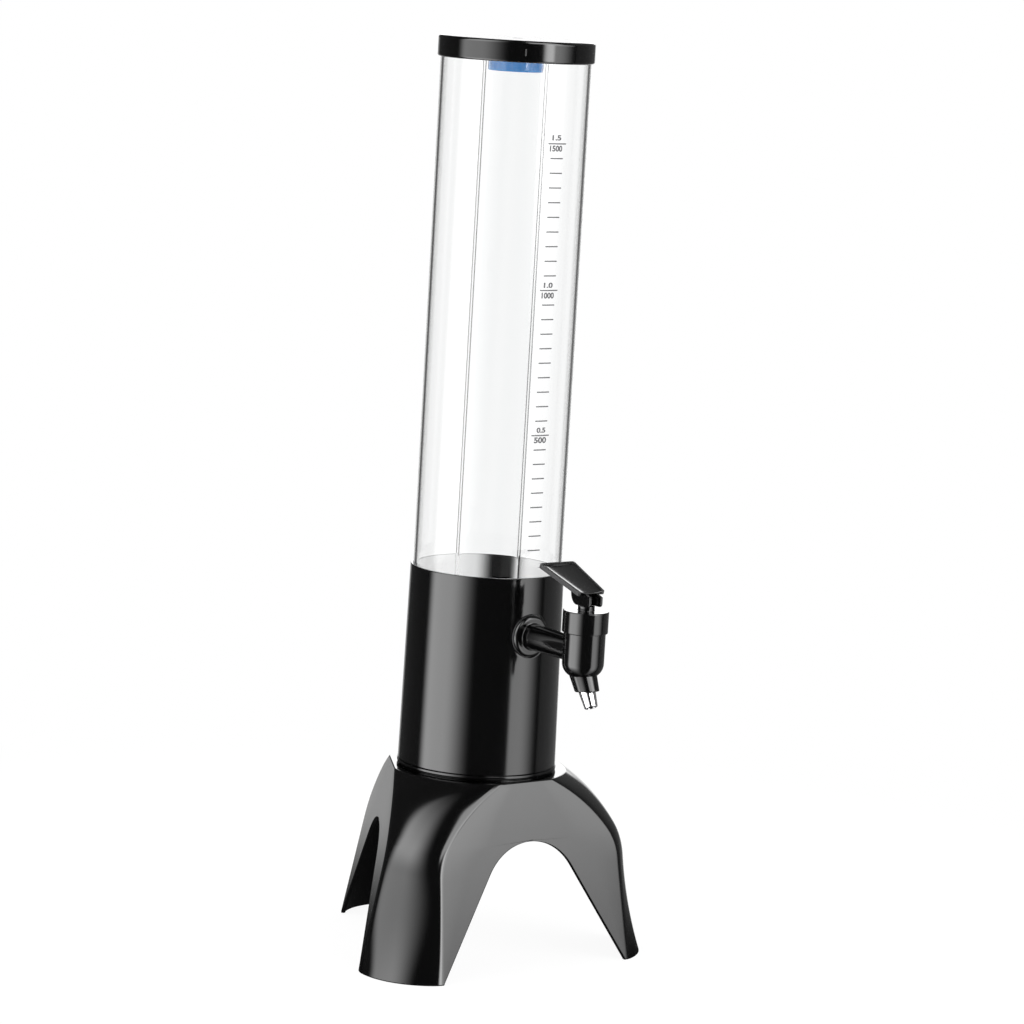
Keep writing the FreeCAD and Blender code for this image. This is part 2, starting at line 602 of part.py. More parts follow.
def valve_spring():
    """A compression coil between the stem's shoulder and the stem's seal, its wire drawn six-sided."""
    end = SPRING_WIRE_R + SPRING_GAP
    low = PLUG_TOP_Z + STEM_SHOULDER_T + end
    high = BONNET_UNDER_Z - STEM_SEAL_T - end
    coil_r = SPRING_R - SPRING_WIRE_R
    helix = Part.makeHelix((high - low) / SPRING_TURNS, high - low, coil_r)
    turns = [math.radians(60 * number) for number in range(7)]
    section = [V(math.cos(a), 0, math.sin(a)) * SPRING_WIRE_R + V(coil_r, 0, 0) for a in turns]
    coil = Part.Wire(helix.Edges).makePipeShell([Part.makePolygon(section)], True, True)
    coil.translate(V(0, -TAP_REACH, low))
    return coil


def to_lever(shape):
    """Move a shape drawn about the pin, with +Y to the tower and +Z up, to its place on the tap."""
    shape.translate(V(0, -TAP_REACH, PIN_Z))
    return shape


def cam_points(count):
    """The cam's face. Its distance from the pin grows evenly with the turn, so its shape is an involute."""
    points = []
    for step in range(count):
        turn = math.radians(CAM_SWEEP) * step / (count - 1)
        reach = PIN_RISE + CAM_RATE * turn
        back = reach * math.sin(turn) + CAM_RATE * math.cos(turn)
        down = reach * math.cos(turn) - CAM_RATE * math.sin(turn)
        points.append(V(0, back, -down))
    return points


def lean_back(shape):
    """Tip a shape drawn level about the pin up to the paddle's lean."""
    shape.rotate(V(0, 0, 0), V(1, 0, 0), PADDLE_LEAN)
    return shape


def paddle_plan(inset, front, back):
    """The paddle's plan, set in from its sides, as a face on the level plane."""
    wide, narrow = PADDLE_HALF_BACK - inset, PADDLE_HALF_FRONT - inset
    corners = [V(-narrow, front, 0), V(narrow, front, 0), V(wide, back, 0), V(-wide, back, 0)]
    return Part.Face(Part.makePolygon(corners + corners[:1]))


def paddle():
    """The thumb paddle: widening to its far end, dished on top, with a raised lip across the end."""
    slab = paddle_plan(0, -PADDLE_FRONT, PADDLE_BACK).extrude(V(0, 0, PADDLE_T))
    upright = [edge for edge in slab.Edges if edge.BoundBox.ZLength > PADDLE_T / 2]
    slab = slab.makeFillet(PADDLE_CORNER, [edge for edge in upright if edge.BoundBox.YMin > 0])
    dish_r = (PADDLE_HALF_FRONT ** 2 + DISH_DEPTH ** 2) / (2 * DISH_DEPTH)
    start, end = -PADDLE_FRONT - 1, PADDLE_BACK - DISH_LIP
    dish = Part.makeCylinder(dish_r, end - start, V(0, start, PADDLE_T - DISH_DEPTH + dish_r), V(0, 1, 0))
    slab = slab.cut(dish.common(paddle_plan(DISH_RIM, start, end).extrude(V(0, 0, dish_r))))
    slab.translate(V(0, 0, PADDLE_CLEAR))
    return lean_back(slab)


def cam_head():
    """The lever's head: its lower face is the cam, its front is upright, and a slot takes the stem's eye."""
    cam = cam_points(13)
    curve = Part.BSplineCurve()
    curve.interpolate(cam)
    front, low, back = -HEAD_FRONT, -PIN_RISE, cam[-1].y
    slack = HEAD_CORNER * (1 - math.sqrt(0.5))
    sole, face = V(0, front + HEAD_CORNER, low), V(0, front, low + HEAD_CORNER)
    nose = Part.Arc(face, V(0, front + slack, low + slack), sole)
    outline = [Part.makeLine(sole, cam[0]), curve.toShape(), Part.makeLine(cam[-1], V(0, back, HEAD_ROOF)),
               Part.makeLine(V(0, back, HEAD_ROOF), V(0, front, HEAD_ROOF)),
               Part.makeLine(V(0, front, HEAD_ROOF), face), nose.toShape()]
    head = Part.Face(Part.Wire(outline)).extrude(V(2 * HEAD_HALF, 0, 0))
    head.translate(V(-HEAD_HALF, 0, 0))
    above = Part.makeBox(60, 120, 40, V(-30, -60, PADDLE_CLEAR + PADDLE_T / 2))
    slot_top = PADDLE_CLEAR - SLOT_GAP
    slot = Part.makeBox(2 * SLOT_HALF, 40, 40, V(-SLOT_HALF, -20, slot_top - 40))
    return head.cut(lean_back(above)).cut(lean_back(slot))


def tap_lever():
    """The lever: a forked cam head round the stem's eye, under a thumb paddle that leans back."""
    lever = cam_head().fuse(paddle()).removeSplitter()
    lever = lever.cut(Part.makeCylinder(PIN_R, 2 * HEAD_HALF + 2, V(-HEAD_HALF - 1, 0, 0), V(1, 0, 0)))
    return to_lever(lever)


def lever_pin():
    """The cross pin: fast in the lever's cheeks, and the stem's eye turns on it."""
    half = HEAD_HALF - PIN_IN
    return to_lever(Part.makeCylinder(PIN_R, 2 * half, V(-half, 0, 0), V(1, 0, 0)))


# ---------------------------------------------------------------- spout
def below_spout(length):
    """All that lies under the plane the spout ends on, which leans less than the spout does."""
    block = Part.makeBox(60, 60, 40, V(-30, -30, -40))
    block.rotate(V(0, 0, 0), V(1, 0, 0), SPOUT_LEAN - SPOUT_CUT)
    return spout_frame(block, length)


def tap_spout():
    """The black spout under the barrel, leaning away from the tower, with a socket for the tip."""
    length, more = SPOUT_L + SPOUT_SINK, 5.0
    taper = (SPOUT_R - SPOUT_END_R) / length
    low_r = SPOUT_END_R - more * taper
    outer = Part.makeCone(low_r, SPOUT_R, length + more, V(0, 0, -length - more), UP)
    outer = outer.fuse(Part.makeCylinder(SPOUT_R, 4, V(0, 0, 0), UP))
    body = spout_frame(outer.cut(Part.makeCylinder(OUTLET_R, 60, V(0, 0, -30), UP)), 0.0)
    socket = spout_frame(Part.makeCylinder(TIP_R, TIP_SINK + more, V(0, 0, -more), UP), length)
    return body.cut([socket, below_spout(length), barrel_form()])


def spout_tip():
    """The bright outlet tube pressed into the spout's end."""
    outer = Part.makeCone(TIP_END_R, TIP_R, TIP_L, V(0, 0, -TIP_L), UP)
    pressed = Part.makeCylinder(TIP_R, TIP_SINK, V(0, 0, 0), UP)
    bore = Part.makeCone(TIP_END_R - TIP_WALL, TIP_R - TIP_WALL, TIP_L, V(0, 0, -TIP_L), UP)
    inlet = Part.makeCylinder(TIP_R - TIP_WALL, TIP_SINK, V(0, 0, 0), UP)
    return spout_frame(outer.fuse(pressed).removeSplitter().cut(bore).cut(inlet), SPOUT_L + SPOUT_SINK)


PIECES = [tripod_base, base_collar, base_screws, housing, tube_seal, container_tube, lid, lid_seal,
          ice_tube_connector, lid_screw, connector_seal, ice_tube, tap_body, outer_gasket, inner_gasket,
          lock_nut, tap_bonnet, stem_seal, valve_plug, valve_stem, valve_spring, tap_lever, lever_pin,
          tap_spout, spout_tip]

os.makedirs("parts", exist_ok=True)
for piece in PIECES:
    shape = piece()
    count, volume = len(shape.Solids), shape.Volume / 1000
    print(f"{piece.__name__}: {count} solid, {volume:.2f} cm3, valid {shape.isValid()}")
    shape.exportStep(f"parts/{piece.__name__}.step")
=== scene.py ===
"""Looks of the drink tower: moulded, clear, plated and printed surfaces, under soft studio light.

Shapes are worked out in millimetres in the tower's own frame, and go to metres as they become meshes.
Heights and radii of each piece are read from the frame, so that a piece lies where its node lies.
"""
import json
import math

import bmesh
import bpy
import numpy as np
from mathutils import Matrix, Vector

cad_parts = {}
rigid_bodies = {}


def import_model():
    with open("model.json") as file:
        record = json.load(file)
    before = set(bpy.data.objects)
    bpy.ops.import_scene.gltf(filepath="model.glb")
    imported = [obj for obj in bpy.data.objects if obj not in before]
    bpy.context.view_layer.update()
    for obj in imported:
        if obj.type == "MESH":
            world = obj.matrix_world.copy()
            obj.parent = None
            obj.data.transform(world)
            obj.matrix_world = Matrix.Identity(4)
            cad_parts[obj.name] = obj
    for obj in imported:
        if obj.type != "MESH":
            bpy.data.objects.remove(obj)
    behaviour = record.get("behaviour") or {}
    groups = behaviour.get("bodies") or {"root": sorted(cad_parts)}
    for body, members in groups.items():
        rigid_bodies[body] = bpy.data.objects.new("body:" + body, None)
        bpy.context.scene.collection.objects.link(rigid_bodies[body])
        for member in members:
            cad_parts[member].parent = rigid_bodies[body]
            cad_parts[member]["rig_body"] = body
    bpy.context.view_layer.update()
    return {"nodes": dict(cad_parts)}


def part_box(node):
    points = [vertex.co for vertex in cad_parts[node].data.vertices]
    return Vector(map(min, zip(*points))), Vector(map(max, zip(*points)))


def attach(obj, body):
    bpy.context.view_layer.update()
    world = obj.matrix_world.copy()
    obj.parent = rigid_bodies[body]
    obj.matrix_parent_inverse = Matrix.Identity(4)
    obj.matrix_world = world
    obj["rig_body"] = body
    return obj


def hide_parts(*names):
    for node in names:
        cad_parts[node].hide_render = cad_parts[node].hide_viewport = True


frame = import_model()

MM = 0.001
CAMERA_HEADING = math.radians(37.30)    # to the right of +Y
MERGE = 0.005             # points nearer than this become one
SHARP = math.radians(38)  # edges that turn more than this shade as creases


# -------- the frame's own sizes
def low(node, axis=2):
    """The lowest coordinate of a node, in millimetres."""
    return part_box(node)[0][axis] / MM


def high(node, axis=2):
    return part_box(node)[1][axis] / MM


def wide(node, axis=0):
    """Half the width of a node, in millimetres."""
    return (high(node, axis) - low(node, axis)) / 2


TAP_Y = (low("tap_bonnet", 1) + high("tap_bonnet", 1)) / 2
SHANK_Z = (low("outer_gasket") + high("outer_gasket")) / 2
FACE_Y = -high("outer_gasket", 1)   # how far out the housing's round spot face lies


# -------- surfaces as grids of points
def grid_faces(rows, columns, wrap):
    """The quads of a grid of points, row after row. With wrap, the last column joins the first."""
    across = columns if wrap else columns - 1
    row, column = np.divmod(np.arange((rows - 1) * across), across)
    after = (column + 1) % columns
    corners = [row * columns + column, row * columns + after,
               (row + 1) * columns + after, (row + 1) * columns + column]
    return np.stack(corners, 1)


def mesh_of(name, sheets):
    """One mesh of several sheets, which are (points, wrap) pairs."""
    points, faces, start = [], [], 0
    for grid, wrap in sheets:
        rows, columns = grid.shape[:2]
        points.append(grid.reshape(-1, 3) * MM)
        faces.append(grid_faces(rows, columns, wrap) + start)
        start += rows * columns
    mesh = bpy.data.meshes.new(name)
    mesh.from_pydata(np.concatenate(points).tolist(), [], np.concatenate(faces).tolist())
    return mesh


def close_up(mesh):
    """Merges doubles, drops faces with no area and turns the rest to point outwards."""
    work = bmesh.new()
    work.from_mesh(mesh)
    bmesh.ops.remove_doubles(work, verts=work.verts, dist=MERGE * MM)
    bmesh.ops.dissolve_degenerate(work, edges=work.edges, dist=MERGE * MM)
    bmesh.ops.recalc_face_normals(work, faces=work.faces)
    work.to_mesh(mesh)
    work.free()
    mesh.polygons.foreach_set("use_smooth", np.ones(len(mesh.polygons), bool))
    mesh.set_sharp_from_angle(angle=SHARP)


def piece(name, sheets, finish, body, bevel=0.0, nodes=()):
    """A finished piece on its body. bevel rounds its creases; nodes are the frame's nodes it stands for."""
    mesh = sheets if isinstance(sheets, bpy.types.Mesh) else mesh_of(name, sheets)
    close_up(mesh)
    mesh.materials.append(finish)
    made = bpy.data.objects.new(name, mesh)
    bpy.context.scene.collection.objects.link(made)
    if bevel:
        rounding = made.modifiers.new("rounding", "BEVEL")
        rounding.width = bevel * MM
        rounding.segments = 3
        rounding.limit_method = "ANGLE"
        rounding.angle_limit = math.radians(15)
        rounding.use_clamp_overlap = False
        rounding.harden_normals = True
    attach(made, body)
    if nodes:
        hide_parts(*nodes)
    return made


def stand_in(node, sheets, finish, bevel=0.0):
    """A smooth piece in place of one node, on the node's body."""
    body = frame["nodes"][node]["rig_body"]
    return piece(node + "_moulded", sheets, finish, body, bevel, [node])


# -------- outlines and revolved forms
def rounded(corners, closed=True, steps=6, guard=0.2):
    """An outline of (across, up, radius) corners, each turned into an arc of its radius.

    A point of the arc is centre + (sin((1-s)a) u + sin(sa) v) / sin(a), between the two spokes u and v.
    A guard point on the flat beside each arc's end keeps the flat's shading flat.
    """
    points = []
    count = len(corners)
    for number, (across, up, radius) in enumerate(corners):
        corner = np.array([across, up])
        if radius == 0 or (not closed and number in (0, count - 1)):
            points.append(corner[None])
            continue
        sides = [np.array(corners[(number + step) % count][:2]) - corner for step in (-1, 1)]
        before, after = [side / np.linalg.norm(side) for side in sides]
        opening = math.acos(np.clip(before @ after, -1, 1))
        back = radius / math.tan(opening / 2)
        middle = before + after
        centre = corner + middle / np.linalg.norm(middle) * radius / math.sin(opening / 2)
        start, end = corner + before * back - centre, corner + after * back - centre
        turn = math.pi - opening
        share = np.linspace(0, 1, steps + 1)[:, None]
        arc = centre + (np.sin((1 - share) * turn) * start + np.sin(share * turn) * end) / math.sin(turn)
        points += [(corner + before * (back + guard))[None], arc, (corner + after * (back + guard))[None]]
    outline = np.concatenate(points)
    return np.concatenate([outline, outline[:1]]) if closed else outline


def turned(outline, origin=(0, 0, 0), axis=(0, 0, 1), segments=128):
    """A form turned on a lathe: origin + h axis + r (a cos t + b sin t), over an outline of (r, h)."""
    axis = np.array(axis, float) / np.linalg.norm(axis)
    first = np.cross(axis, (1, 0, 0))
    first /= np.linalg.norm(first)
    second = np.cross(axis, first)
    turn = np.linspace(0, 2 * math.pi, segments, endpoint=False)
    spokes = np.cos(turn)[:, None] * first + np.sin(turn)[:, None] * second
    radius, rise = outline[:, 0, None, None], outline[:, 1, None, None]
    return np.array(origin, float) + rise * axis + radius * spokes, True


def ring(inner, outer, bottom, top, edge=0.3):
    """The closed outline of a plain ring with softened edges."""
    corners = [(inner, bottom, edge), (outer, bottom, edge), (outer, top, edge), (inner, top, edge)]
    return rounded(corners, steps=3)


# -------- shader arithmetic
class Wire:
    """A socket in a node tree. Arithmetic on it adds Math nodes."""

    def __init__(self, tree, socket):
        self.tree = tree
        self.socket = socket

    def node(self, kind, settings=(), sockets=(), output=0):
        """Adds a node: its settings first, then the values or links of its sockets, by name or number."""
        return add_node(self.tree, kind, settings, sockets, output)

    def math(self, operation, first, second=0.0, third=0.0):
        return self.node("ShaderNodeMath", {"operation": operation}, {0: first, 1: second, 2: third})

    def __add__(self, other):
        return self.math("ADD", self, other)

    def __sub__(self, other):
        return self.math("SUBTRACT", self, other)

    def __rsub__(self, other):
        return self.math("SUBTRACT", other, self)

    def __mul__(self, other):
        return self.math("MULTIPLY", self, other)

    __radd__ = __add__
    __rmul__ = __mul__

    def step(self, edge, blur):
        """0 below the edge and 1 above it, with a smooth change blur wide."""
        sockets = {"Value": self, "From Min": edge - blur / 2, "From Max": edge + blur / 2}
        return self.node("ShaderNodeMapRange", {"interpolation_type": "SMOOTHSTEP"}, sockets)

    def under(self, edge, blur):
        """1 below the edge and 0 above it."""
        return 1 - self.step(edge, blur)

    def band(self, start, end, blur):
        """1 between start and end, and 0 outside them."""
        return self.step(start, blur) * self.under(end, blur)


def add_node(tree, kind, settings=(), sockets=(), output=0):
    node = tree.nodes.new(kind)
    for name, value in dict(settings).items():
        setattr(node, name, value)
    for name, value in dict(sockets).items():
        if isinstance(value, Wire):
            tree.links.new(value.socket, node.inputs[name])
        else:
            node.inputs[name].default_value = value
    return Wire(tree, node.outputs[output])


def empty_tree(owner):
    owner.use_nodes = True
    owner.node_tree.nodes.clear()
    return owner.node_tree


def grain(tree, size, stretch=(1, 1, 1), detail=2.0):
    """Noise from 0 to 1 with features about size millimetres across, on the object's own coordinates."""
    place = add_node(tree, "ShaderNodeTexCoord", output="Object")
    scaled = add_node(tree, "ShaderNodeMapping", {}, {"Vector": place, "Scale": stretch})
    sockets = {"Vector": scaled, "Scale": 1 / (size * MM), "Detail": detail}
    return add_node(tree, "ShaderNodeTexNoise", {}, sockets)


def coordinates(tree, kind="Object"):
    """The x, y and z of what is shaded: its place on the object, or its direction in the world."""
    place = add_node(tree, "ShaderNodeTexCoord", output=kind)
    return [add_node(tree, "ShaderNodeSeparateXYZ", {}, {0: place}, output=name) for name in "XYZ"]


def from_the_front(x, y):
    """How far a place lies to the right and to the back, for one who stands at the studio's front."""
    sine, cosine = math.sin(CAMERA_HEADING), math.cos(CAMERA_HEADING)
    return x * cosine - y * sine, x * sine + y * cosine


def bumped(tree, height, depth):
    """A normal that follows a height map, depth millimetres deep."""
    return add_node(tree, "ShaderNodeBump", {}, {"Height": height, "Distance": depth * MM, "Strength": 1.0})


def two_tone(tree, share, first, second):
    """A colour between two, by a share from 0 to 1."""
    sockets = {0: share, 6: (*first, 1), 7: (*second, 1)}
    return add_node(tree, "ShaderNodeMix", {"data_type": "RGBA"}, sockets, output=2)


def finish_of(name, build):
    """A material whose surface is a Principled shader. build gives the shader's sockets from the tree."""
    material = bpy.data.materials.new(name)
    tree = empty_tree(material)
    shader = add_node(tree, "ShaderNodeBsdfPrincipled", {}, build(tree))
    out = tree.nodes.new("ShaderNodeOutputMaterial")
    tree.links.new(shader.socket, out.inputs["Surface"])
    return material


def gloss_black(tree):
    """Polished black moulded plastic, with a faint waviness from the mould."""
    cloud = grain(tree, 18)
    fine = grain(tree, 0.7)
    return {"Base Color": two_tone(tree, cloud, (0.0018, 0.0018, 0.0019), (0.0026, 0.0026, 0.0028)),
            "Roughness": 0.085 + 0.03 * cloud + 0.02 * fine,
            "Normal": bumped(tree, cloud, 0.01),
            "IOR": 1.5}


PADDLE_SIDE = 0.0082      # metres from the middle to the paddle's unpolished side, painted a lighter black, beside the tap's axis
PADDLE_SPREAD = 0.107     # how much further out the side lies for each metre towards the tower


def paddle_black(tree):
    """Black moulded plastic, polished on top and rougher along the paddle's sides, where a lighter black is a
    painted sheen for the light that the sides catch.
    """
    cloud = grain(tree, 18)
    fine = grain(tree, 0.7)
    x, y = coordinates(tree)[:2]
    inside = (y - TAP_Y * MM) * PADDLE_SPREAD + PADDLE_SIDE
    # painted sheen: the paddle's sides get a lighter black, and they are also rougher
    side = (x.math("ABSOLUTE", x) - inside).step(0, 0.0005)
    return {"Base Color": two_tone(tree, side, (0.002, 0.002, 0.0021), (0.02, 0.02, 0.0205)),
            "Roughness": 0.1 + 0.05 * fine + 0.33 * side,
            "Normal": bumped(tree, cloud, 0.01),
            "IOR": 1.5}


def satin_black(tree):
    """Black moulded plastic with the fine texture of an unpolished mould."""
    fine = grain(tree, 0.35)
    return {"Base Color": two_tone(tree, fine, (0.010, 0.010, 0.011), (0.016, 0.016, 0.017)),
            "Roughness": 0.32 + 0.12 * fine,
            "Normal": bumped(tree, fine, 0.004)}


def clear_wall(tree):
    """Clear extruded plastic: straight faint draw lines along the tube."""
    lines = grain(tree, 6, (1, 1, 0.02), 1.0)
    return {"Base Color": two_tone(tree, lines, (0.985, 0.99, 0.99), (1, 1, 1)),
            "Roughness": 0.0,
            "IOR": 1.38,
            "Transmission Weight": 1.0,
            "Normal": bumped(tree, lines, 0.006)}


def thin_clear(tree):
    """Clear thin-walled plastic, a little fainter than the outer tube."""
    sockets = clear_wall(tree)
    sockets["IOR"] = 1.05
    return sockets


# how bright the painted glow is that stands in for light at the foot of the clear tube's far side
PAINTED_FOOT_GLOW = 0.34


def lit_foot_clear(tree):
    """The clear tube's wall, with a painted glow on its foot where it sits in the rim, at the far side, broken
    by a painted dark gap.
    """
    sockets = clear_wall(tree)
    x, y, z = coordinates(tree)
    right, away = from_the_front(x, y)
    # painted shade: a dark gap in the glow, just right of the middle as seen from the front
    painted_dark_gap = right.band(-0.003, 0.020, 0.012)
    # painted glow: emission on the far side of the tube's foot, below the housing's rim, standing in for light
    # seen there
    lit = z.under(high("housing") * MM, 0.001) * away.step(0.004, 0.04) * (1 - painted_dark_gap) * PAINTED_FOOT_GLOW
    sockets["Emission Color"] = two_tone(tree, lit, (0, 0, 0), (1, 1, 1))
    sockets["Emission Strength"] = 1.0
    return sockets


def clear_blue(tree):
    """Bright blue moulded plastic, with a faint painted blue glow that lifts it out of the shade under the lid.
    """
    cloud = grain(tree, 5)
    return {"Base Color": two_tone(tree, cloud, (0.008, 0.29, 0.84), (0.012, 0.33, 0.9)),
            "Roughness": 0.12 + 0.05 * cloud,
            # painted glow: a faint blue emission that brightens the plug in the shade under the lid and behind
            # the clear tube
            "Emission Color": two_tone(tree, cloud, (0.001, 0.03, 0.10), (0.001, 0.04, 0.13)),
            "Emission Strength": 1.0,
            "Coat Weight": 1.0,
            "Coat Roughness": 0.05,
            "IOR": 1.5}


def bright_plate(tree):
    """Bright chrome plating, with faint polishing marks round the tube."""
    marks = grain(tree, 0.5, (1, 1, 3))
    return {"Base Color": two_tone(tree, marks, (0.78, 0.78, 0.79), (0.86, 0.86, 0.87)),
            "Metallic": 1.0,
            "Roughness": 0.05 + 0.05 * marks}


def turned_steel(tree):
    """Zinc-plated steel with fine drawing marks."""
    marks = grain(tree, 0.25, (1, 1, 0.2))
    return {"Base Color": two_tone(tree, marks, (0.52, 0.52, 0.53), (0.68, 0.68, 0.68)),
            "Metallic": 1.0,
            "Roughness": 0.22 + 0.14 * marks,
            "Normal": bumped(tree, marks, 0.003)}


def soft_rubber(tree):
    """Black rubber with a dry, dusty bloom."""
    bloom = grain(tree, 1.2, detail=4.0)
    return {"Base Color": two_tone(tree, bloom, (0.02, 0.02, 0.021), (0.045, 0.045, 0.046)),
            "Roughness": 0.55 + 0.2 * bloom,
            "Normal": bumped(tree, bloom, 0.01)}


def dark_ink(tree):
    """Screen-printed dark ink with an uneven edge of thickness."""
    patches = grain(tree, 0.6)
    return {"Base Color": two_tone(tree, patches, (0.05, 0.05, 0.055), (0.12, 0.12, 0.125)),
            "Roughness": 0.4 + 0.2 * patches}


GLOSS = finish_of("gloss_black_plastic", gloss_black)
PADDLE = finish_of("paddle_black_plastic", paddle_black)
SATIN = finish_of("satin_black_plastic", satin_black)
CLEAR = finish_of("clear_tube_plastic", lit_foot_clear)
THIN_CLEAR = finish_of("thin_clear_plastic", thin_clear)
BLUE = finish_of("blue_plastic", clear_blue)
PLATE = finish_of("chrome_plate", bright_plate)
STEEL = finish_of("plated_steel", turned_steel)
RUBBER = finish_of("black_rubber", soft_rubber)
INK = finish_of("scale_ink", dark_ink)


# -------- base
WALL = 2.6
PANEL_LEAN = math.radians(10.1)
PANEL_FOOT = 71.83        # from the tower's axis to a panel's face, at the table
LEG_STAND = 25.6          # at the table, how much further out the leg's chord is than the panel's face
LEG_LEAN = math.radians(7.9)
LEG_BEND_DROP = 52.2      # from the deck down to the start of the leg's knee
KNEE_R = 42.0
SHOULDER_R = 120.0
KNEE_END = math.radians(37.6)
FOOT_BULGE, WAIST_BULGE, TOP_BULGE = 9.8, 4.2, 11.7
ARCH_R = 35.5
ARCH_DROP = 35.6          # from the deck down to the arch's top
ARCH_FOOT = 68.0
BASE_EDGE = 0.8
CORNER_REACH = 2.6        # from a panel's corner with a leg to where its rounding starts
RIB_T = 2.0
RIB_DEPTH = 9.0
RIB_START = 43.4
SCREW_BOSS = (5.2, 6.4, 3.0)   # bore, outside and depth
SCREW_PITCH = 38.5
LEG_TURNS = (90, 210, 330)
SIN60, COS60 = math.sin(math.radians(60)), 0.5

DECK_Z = high("tripod_base")
LEG_BEND_Z = DECK_Z - LEG_BEND_DROP
ARCH_TOP_Z = DECK_Z - ARCH_DROP
ARCH_CENTRE_Z = ARCH_TOP_Z - ARCH_R
ARCH_SLOPE = math.acos(ARCH_R / math.hypot(ARCH_FOOT, ARCH_CENTRE_Z)) - math.atan2(ARCH_CENTRE_Z, ARCH_FOOT)
LEG_FOOT = PANEL_FOOT + LEG_STAND


def panel_distance(z, inset=0.0):
    """From the axis to a leaning flat panel: foot - z tan(lean) - inset / cos(lean)."""
    return PANEL_FOOT - z * math.tan(PANEL_LEAN) - inset / math.cos(PANEL_LEAN)


def leg_chord(z, inset=0.0):
    """From the axis to a leg's chord: a leaning straight, then a tight knee arc, then a wide shoulder arc."""
    knee_x = LEG_FOOT - LEG_BEND_Z * math.tan(LEG_LEAN) - KNEE_R * math.cos(LEG_LEAN)
    knee_z = LEG_BEND_Z - KNEE_R * math.sin(LEG_LEAN)
    shoulder_x = knee_x + (KNEE_R - SHOULDER_R) * math.cos(KNEE_END)
    shoulder_z = knee_z + (KNEE_R - SHOULDER_R) * math.sin(KNEE_END)
    knee_r, shoulder_r = KNEE_R - inset, SHOULDER_R - inset
    straight = LEG_FOOT - z * math.tan(LEG_LEAN) - inset / math.cos(LEG_LEAN)
    knee = knee_x + np.sqrt(np.maximum(knee_r ** 2 - (z - knee_z) ** 2, 0))
    shoulder = shoulder_x + np.sqrt(np.maximum(shoulder_r ** 2 - (z - shoulder_z) ** 2, 0))
    curved = np.where(z <= knee_z + knee_r * math.sin(KNEE_END), knee, shoulder)
    return np.where(z <= knee_z + knee_r * math.sin(LEG_LEAN), straight, curved)


def arch_half(z):
    """Half the arch's width: straight sloping sides up to a round top of radius ARCH_R."""
    touch_z = ARCH_CENTRE_Z + ARCH_R * math.sin(ARCH_SLOPE)
    side = ARCH_FOOT - z * math.tan(ARCH_SLOPE)
    top = np.sqrt(np.maximum(ARCH_R ** 2 - (z - ARCH_CENTRE_Z) ** 2, 0))
    return np.where(z <= touch_z, side, np.where(z <= ARCH_TOP_Z, top, 0.0))


def arch_rows(top_z):
    """Heights for the rows: even up to the arch's round part, by even angles round it, then even again."""
    turn = np.linspace(ARCH_SLOPE, math.pi / 2, 18)
    round_part = ARCH_CENTRE_Z + ARCH_R * np.sin(turn)
    below, above = np.linspace(0, round_part[0], 14)[:-1], np.linspace(ARCH_TOP_Z, top_z, 14)[1:]
    return np.concatenate([below, round_part, above])


def on_panel(z, across, inset=0.0):
    """Points of the panel beside a leg that points to +X, across millimetres from the panel's middle."""
    out = panel_distance(z, inset)
    return np.stack([out * COS60 + across * SIN60, out * SIN60 - across * COS60, z + 0 * across], -1)


def corner_across(z, inset=0.0):
    """How far across the panel its corner with the leg lies: (chord - distance cos 60) / sin 60."""
    return (leg_chord(z, inset) - panel_distance(z, inset) * COS60) / SIN60


def leg_half(z, inset=0.0):
    """Half the width of a leg's rounded face."""
    return (panel_distance(z, inset) - leg_chord(z, inset) * COS60) / SIN60


def on_leg(z, share, inset=0.0):
    """Points of the leg's rounded face. share runs from 0 at the panel's corner to 1 at the leg's middle.

    The face stands proud of its chord by a circular arc through both corners: sqrt(R^2 - y^2) - (R - rise).
    The arc's rise is a parabola of the height, through its values at the foot, half way up and at the deck.
    """
    half = leg_half(z, inset)
    up = z / DECK_Z
    rise = FOOT_BULGE * (1 - up) * (1 - 2 * up) + 4 * WAIST_BULGE * up * (1 - up)
    rise = rise + TOP_BULGE * up * (2 * up - 1)
    radius = (half ** 2 + rise ** 2) / (2 * rise)
    y = half * (1 - share)
    proud = np.sqrt(radius ** 2 - y ** 2) - (radius - rise)
    return np.stack([leg_chord(z, inset) + proud, y, z + 0 * y], -1)


def panel_and_leg(z, reach, inset=0.0):
    """Rows across half a panel and half a leg, with their corner rounded from reach millimetres off it.

    The rounding is (1-t)^2 p + 2t(1-t) c + t^2 q, from p on the panel by the corner c to q on the leg.
    """
    arch, corner, half = arch_half(z), corner_across(z, inset), leg_half(z, inset)
    panel = on_panel(z, arch + (corner - reach - arch) * np.array([0, 0.5, 1.0]), inset)
    leg = on_leg(z, reach / half + (1 - reach / half) * np.linspace(0, 1, 15), inset)
    t = np.linspace(0, 1, 8)[1:-1, None]
    start, end = panel[:, -1:], leg[:, :1]
    turn = (1 - t) ** 2 * start + 2 * t * (1 - t) * on_panel(z, corner, inset) + t ** 2 * end
    return np.concatenate([panel, turn, leg], 1)


def half_leg():
    """The sheets of half a leg and half its panel: outside, inside, arch edge, foot, deck and its underside."""
    outer_z = arch_rows(DECK_Z)[:, None]
    inner_z = arch_rows(DECK_Z - WALL)[:, None]
    outside = panel_and_leg(outer_z, CORNER_REACH)
    inside = panel_and_leg(inner_z, CORNER_REACH / 2, WALL)
    count = (outer_z[:, 0] <= ARCH_TOP_Z + MERGE).sum()
    arch_edge = np.stack([outside[:count, 0], inside[:count, 0]], 1)
    foot = np.stack([outside[0], inside[0]])
    decks = []
    for edge in (outside[-1], inside[-1]):
        decks.append(np.linspace(0, 1, 5)[:, None, None] * (edge * [1, 1, 0]) + [0, 0, edge[0, 2]])
    return [outside, inside, arch_edge, foot] + decks


